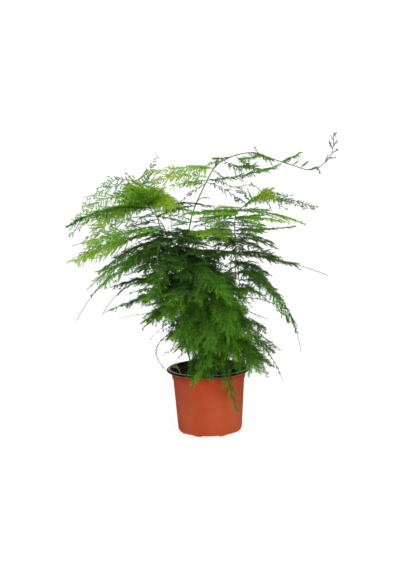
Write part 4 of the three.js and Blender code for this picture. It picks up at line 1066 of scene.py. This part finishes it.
def cleared(spray):
    """The first turn that is clear enough, or else the one with the most room."""
    best, room = spray, -1.0
    for degrees in TURNS:
        trial = turned(spray, degrees)
        clear = nearest(rib_samples(trial), spray["stem"])
        if clear > room:
            best, room = trial, clear
        if room > RIB_CLEARANCE:
            break
    return best


taken = [(stem, stem_samples(points)) for stem, (_, _, _, points) in STEMS.items()]
sprays = []
for spray in planned:
    sprays.append(cleared(spray))
    taken.append((spray["stem"], rib_samples(sprays[-1])))
print("sprays placed:", len(sprays), "ribs in all:",
      round(sum(rib_length(spray) for spray in sprays) / 1000, 1), "m")

# %% [markdown]
# ## One needle and one twig
# What look like leaves on this plant are tiny green shoots, finer than a pin, in whorls along
# every twig. The render needs some two hundred thousand of them, so the shape is as simple as
# it can be: a cone with three sides.
#
# A particle system could scatter them, but the export would not keep it. Instead one needle,
# one twig and one length of stem are modelled here, and each copy is laid in its place by
# code.

# %% Model the needle, the twig and the stem
STEM_RINGS = 49
RIB_RINGS = 13
TWIG_MIDDLE = 0.75  # how thick a twig is halfway, of one at its foot


def model_needle():
    """A pointed spike, one unit thick at its foot and one unit long."""
    bpy.ops.mesh.primitive_cone_add(vertices=3, radius1=1.0, radius2=0.0, depth=1.0,
                                    location=(0, 0, 0.5))
    bpy.ops.object.transform_apply(location=True, rotation=True, scale=True)
    return template(bpy.context.object)


def model_twig():
    """A spike with one more ring halfway, so that it can bend."""
    twig = start_piece("twig", 1.0 / MM, 0.0, 3, "NGON")
    extrude(0.5, TWIG_MIDDLE)
    extrude(0.5)
    bpy.ops.mesh.merge(type="CENTER")
    end_piece()
    return template(twig)


def model_stem(sides, rings):
    """A straight round stem, one unit thick and one long, with rings to bend at."""
    stem = start_piece("stem", 1.0 / MM, 0.0, sides, "NGON")
    for _ in range(rings - 1):
        extrude(1.0 / (rings - 1))
    end_piece()
    return template(stem)


NEEDLE = model_needle()
TWIG = model_twig()
STEM = model_stem(8, STEM_RINGS)
RIB = model_stem(4, RIB_RINGS)
print("faces of a needle, twig, rib, stem:", [len(m[1]) for m in (NEEDLE, TWIG, RIB, STEM)])

# %% [markdown]
# A stem is bent by moving each of its rings onto a line. Twigs and needles are laid by the
# thousand in one go: each has a foot, a direction, a length and a thickness, and its corners
# follow from those. A twig also hangs a little, more towards its tip.

# %% Lay stems, twigs and needles
TIP_LIGHT = 0.1  # how much higher in tone a spike's tip is than its foot


def unit(vectors):
    return vectors / np.linalg.norm(vectors, axis=-1, keepdims=True)


def scaled(vectors, amounts):
    return vectors * amounts[:, None]


def lay_stem(model, line, radii, across, tones):
    """Bends a stem along a line of points; across is a direction its rings never face."""
    points, faces = model
    rings = np.rint(points[:, 2] * (len(line) - 1)).astype(int)
    ahead = unit(np.gradient(line, axis=0))
    side = unit(np.cross(across, ahead))
    front = np.cross(ahead, side)
    laid = (line[rings] + radii[rings, None]
            * (points[:, :1] * side[rings] + points[:, 1:2] * front[rings]))
    return laid, faces, tones[rings]


def lay_spikes(model, feet, directions, lengths, hang, radii, tones):
    """Copies of a needle or a twig; hang is how far each one's tip sags, as a vector."""
    points, faces = model
    reference = np.where(np.abs(directions[:, 2:]) < 0.9, UP, [1.0, 0.0, 0.0])
    side = unit(np.cross(directions, reference))
    other = np.cross(directions, side)
    x, y, z = (points[:, k][None, :, None] for k in range(3))
    laid = (feet[:, None] + radii[:, None, None] * (x * side[:, None] + y * other[:, None])
            + lengths[:, None, None] * z * directions[:, None] + z * z * hang[:, None])
    all_tones = tones[:, None] + TIP_LIGHT * points[:, 2]
    return laid.reshape(-1, 3), copied(faces, len(points), len(feet)), all_tones.reshape(-1)


print("helpers ready to lay a plant")

# %% [markdown]
# ## A spray
# A spray is a rib with twigs on both sides, all nearly in one plane, which is what gives the
# plant its flat tiers. Twigs are long near the foot and short at the tip, and whorls of
# needles sit along each one.
#
# High sprays are young and open: one sees single twigs with short needles pressed to them.
# Low sprays are old and full, and hang in plumes with long needles that stand out all round.
# One number, the *fullness*, leads from the first kind to the second.

# %% Twigs of a spray
# Where a value has two parts, the first is for an open spray and the second for a full one.
TWIG_PITCH = (5.2, 3.3)
TWIG_LEAN_AT_FOOT, TWIG_LEAN_AT_TIP = (62, 46), (42, 30)
TWIG_SWING = (11, 7)  # how much the lean varies
TWIG_LIFT, TWIG_LIFT_SWING = -0.05, (0.14, 0.25)
TWIG_GROWTH, GROWTH_STEPS = (0.7, 1.3), 8  # how much the outline waves, in how many steps
TWIG_SAG = 0.26
TWIG_SHARE, SHARE_CURVE = (0.5, 1.5), 1.5  # of the spray's half width; few are long
LEAST_LEAN = 0.4  # in radians, so that steep twigs don't get too long
SHORTEST_TWIG = 1.5
NEEDLE_LENGTH = (3.8, 8.6)
BARE_FOOT = (0.09, 0.05)
FOOT_WIDTH, FULL_WIDTH_AT = (0.35, 0.6), (0.45, 0.25)
TAPER, TAPER_FROM, TAPER_CURVE = (0.55, 0.72), 0.25, 1.5


def spray_width(u, full):
    """Width along a rib, as a share: it swells from the foot and tapers to the tip."""
    at_foot = between(FOOT_WIDTH, full)
    swell = at_foot + (1 - at_foot) * np.minimum(1, u / between(FULL_WIDTH_AT, full))
    past = np.maximum(0, (u - TAPER_FROM) / (1 - TAPER_FROM))
    return swell * (1 - between(TAPER, full) * past ** TAPER_CURVE)


def rib_frame(spray, u):
    """Points on the rib, its direction there, and the spray's side and upper face."""
    centre = rib_points(spray, u)
    ahead = unit(rib_points(spray, u + 0.01) - rib_points(spray, u - 0.01))
    side = unit(np.cross(spray["tip"] - spray["root"], UP))
    over = unit(np.cross(side, ahead))
    facing = math.radians(spray["facing"]) * (1 if side[1] > 0 else -1)
    tilted_side = side * math.cos(facing) + over * math.sin(facing)
    tilted_over = over * math.cos(facing) - side * math.sin(facing)
    return centre, ahead, tilted_side, tilted_over


def spray_twigs(spray, draw):
    """Where each twig of a spray stands and how it points, with the spray's upper face."""
    full = spray["fullness"]
    bare_foot = max(between(BARE_FOOT, full), spray["bare_foot"])
    leafy = 1 - bare_foot - spray["bare_tip"]
    pairs = max(3, round(rib_length(spray) * leafy * spray["lushness"]
                         / between(TWIG_PITCH, full)))
    count = 2 * pairs
    u = bare_foot + leafy * (np.arange(count) + draw.random(count)) / count
    hand = np.where(np.arange(count) % 2 == 0, 1.0, -1.0)
    feet, ahead, side, over = rib_frame(spray, u)
    lean_at = (between(TWIG_LEAN_AT_FOOT, full), between(TWIG_LEAN_AT_TIP, full))
    lean = np.radians(between(lean_at, u) + draw.normal(0, between(TWIG_SWING, full), count))
    lift = draw.normal(TWIG_LIFT, between(TWIG_LIFT_SWING, full), count)
    direction = unit(scaled(ahead, np.cos(lean)) + scaled(side, hand * np.sin(lean))
                     + scaled(over, lift))
    growth = np.interp(u, np.linspace(0, 1, GROWTH_STEPS),
                       draw.uniform(*TWIG_GROWTH, GROWTH_STEPS))
    reach = (spray["half_width"] * spray_width(u, full) * growth
             * between(TWIG_SHARE, draw.random(count) ** SHARE_CURVE))
    past_twig = 0.5 * between(NEEDLE_LENGTH, full)  # how far the last needles stand out
    length = np.maximum(SHORTEST_TWIG, reach / np.sin(np.maximum(lean, LEAST_LEAN)) - past_twig)
    sag = (draw.uniform(0.0, TWIG_SAG, count) * length)[:, None]
    return feet, direction, length, 0.5 * sag * ahead - sag * UP, over, u


print("twigs of the first spray:",
      len(spray_twigs({**sprays[0], "fullness": 0.0}, np.random.default_rng(1))[0]))

# %% Needles of a spray
WHORL_PITCH = (1.9, 3.1)
NEEDLES_IN_WHORL = 4
WHORL_DEPTH = (0.4, 0.9)  # where in its step along the twig a needle stands
NEEDLE_SPREAD_LEAST, NEEDLE_SPREAD_MOST = (18, 14), (48, 46)
NEEDLE_RADIUS = (0.38, 0.36)
NEEDLE_FLATNESS = (0.6, 1.0)  # how round a whorl is
OLD_BELOW, OLD_STOUTNESS = 0.3, 1.0  # the tone below which needles thicken, and how fast
SHORT_NEEDLES, WIDTH_SHARE = 0.35, 1 / 16  # narrow sprays have shorter needles
NEEDLE_SHARE = (0.7, 1.3)  # how much the length varies
NEEDLE_LOSS = 0.35  # how much shorter they get towards the twig's tip
NEEDLE_TONE_SWING = 0.05


def whorls(spray, twigs, tone, draw):
    """The needles of a spray, in whorls along each of its twigs."""
    feet, direction, length, hang, over, _ = twigs
    full = spray["fullness"]
    per_twig = np.maximum(1, np.ceil(length / between(WHORL_PITCH, full))).astype(int)
    twig = np.repeat(np.arange(len(feet)), per_twig * NEEDLES_IN_WHORL)
    count = len(twig)
    step = np.concatenate([np.repeat(np.arange(n), NEEDLES_IN_WHORL) for n in per_twig])
    along = (step + between(WHORL_DEPTH, draw.random(count))) / per_twig[twig]
    place = (feet[twig] + scaled(direction[twig], along * length[twig])
             + scaled(hang[twig], along ** 2))
    ahead = unit(scaled(direction[twig], length[twig]) + 2 * scaled(hang[twig], along))
    across = unit(np.cross(ahead, over[twig]))
    above = np.cross(across, ahead)
    spread = np.radians(draw.uniform(between(NEEDLE_SPREAD_LEAST, full),
                                     between(NEEDLE_SPREAD_MOST, full), count))
    roll = draw.uniform(0, 2 * np.pi, count)
    out = (scaled(across, np.cos(roll))
           + scaled(above, between(NEEDLE_FLATNESS, full) * np.sin(roll)))
    way = unit(scaled(ahead, np.cos(spread)) + scaled(out, np.sin(spread)))
    radius = (between(NEEDLE_RADIUS, full)
              + OLD_STOUTNESS * max(0.0, OLD_BELOW - spray["tone"]))
    size = (between(NEEDLE_LENGTH, full)
            * min(1.0, SHORT_NEEDLES + WIDTH_SHARE * spray["half_width"]))
    lengths = (size * between(NEEDLE_SHARE, draw.random(count))
               * (1 - NEEDLE_LOSS * along ** 2))
    return lay_spikes(NEEDLE, place, way, lengths, np.zeros((count, 3)),
                      np.full(count, radius),
                      tone[twig] + draw.normal(0, NEEDLE_TONE_SWING, count))


print("needles of a full spray:", NEEDLE_LENGTH[1], "mm long")

# %% Dress a spray
TWIG_RADIUS, RIB_RADIUS = 0.36, 0.5
RIB_END, BARE_RIB_END = 0.16, 0.36
RIB_SHADE, TWIG_SHADE = 0.18, 0.15  # how much lower in tone than the needles
YOUNG_TONES = (0.35, 0.6)
YOUNG_END = (0.12, 0.3)  # how much lighter the tip is than the foot: old, young
MIDDLE = 0.45  # the share of the rib where a twig has the spray's own tone
TWIG_TONE_SWING = 0.06
OPEN_ABOVE, OPENING = 285, 90  # roots higher than this are open, and that much lower full
NARROW, NARROW_FULLNESS = 9, 0.35


def dress_spray(spray, draw):
    """The rib, the twigs and the needles of a spray, each with its tones."""
    twigs = spray_twigs(spray, draw)
    feet, direction, length, hang, _, u = twigs
    youth = np.interp(spray["tone"], YOUNG_TONES, YOUNG_END)
    tone = spray["tone"] + youth * (u - MIDDLE) + draw.normal(0, TWIG_TONE_SWING, len(u))
    reach = spray["tip"] - spray["root"]
    above = unit(np.cross(unit(np.cross(reach, UP)), reach))
    end = BARE_RIB_END if spray["bare_tip"] else RIB_END
    rib = lay_stem(RIB, rib_points(spray, np.linspace(0, 1, RIB_RINGS)),
                   np.linspace(RIB_RADIUS, end, RIB_RINGS), above,
                   np.full(RIB_RINGS, spray["tone"] - RIB_SHADE))
    spikes = lay_spikes(TWIG, feet, direction, length, hang, np.full(len(u), TWIG_RADIUS),
                        tone - TWIG_SHADE)
    return [rib, spikes, whorls(spray, twigs, tone, draw)]


for spray in sprays:
    fullness = min(max((OPEN_ABOVE - spray["root"][2]) / OPENING, 0.0), 1.0)
    spray["fullness"] = NARROW_FULLNESS if spray["half_width"] < NARROW else fullness
print("fullest spray:", max(spray["fullness"] for spray in sprays))

# %% [markdown]
# ## The leafy stems
# A stem is green wire: two millimetres thick at the soil and less than half that at its tip.
# The straight stem modelled above is bent along its line. All the sprays of a stem are joined
# to it in one mesh, which stands for that stem's solid.

# %% Grow the stems
STEM_RADII = (1.0, 0.45)
FIRST_SEED = 400


def joined(parts):
    """Several sets of points, triangles and tones as one."""
    points, faces, tones = zip(*parts)
    starts = np.cumsum([0] + [len(some) for some in points[:-1]])
    return (np.concatenate(points),
            np.concatenate([some + start for some, start in zip(faces, starts)]),
            np.concatenate(tones))


def grow(stem, seed):
    """Makes one leafy stem as a piece, and returns how many faces it has."""
    slot, foot_tone, top_tone, points = STEMS[stem]
    draw = np.random.default_rng(seed)
    line = np.array([along_stem(points, place)
                     for place in np.linspace(0, len(points) - 1, STEM_RINGS)])
    wood = lay_stem(STEM, line, np.linspace(*STEM_RADII, STEM_RINGS),
                    np.array([0.0, 1.0, 0.0]), np.linspace(foot_tone, top_tone, STEM_RINGS))
    parts = [wood]
    for spray in sprays:
        if spray["stem"] == stem:
            parts += dress_spray(spray, draw)
    points, faces, tone = joined(parts)
    piece = mesh_piece("leafy_" + stem, points, faces, NEEDLES, tone)
    piece.data.materials.append(BARK)
    wooden = np.arange(len(faces)) < len(wood[1])
    piece.data.polygons.foreach_set("material_index", wooden.astype(np.int32))
    piece.data.polygons.foreach_set("use_smooth", wooden)
    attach(piece, "root")
    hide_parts(stem)
    return len(faces)


face_counts = {stem: grow(stem, FIRST_SEED + k) for k, stem in enumerate(STEMS)}
print("faces of each leafy stem:", face_counts)
print("plant:", sum(face_counts.values()), "faces")
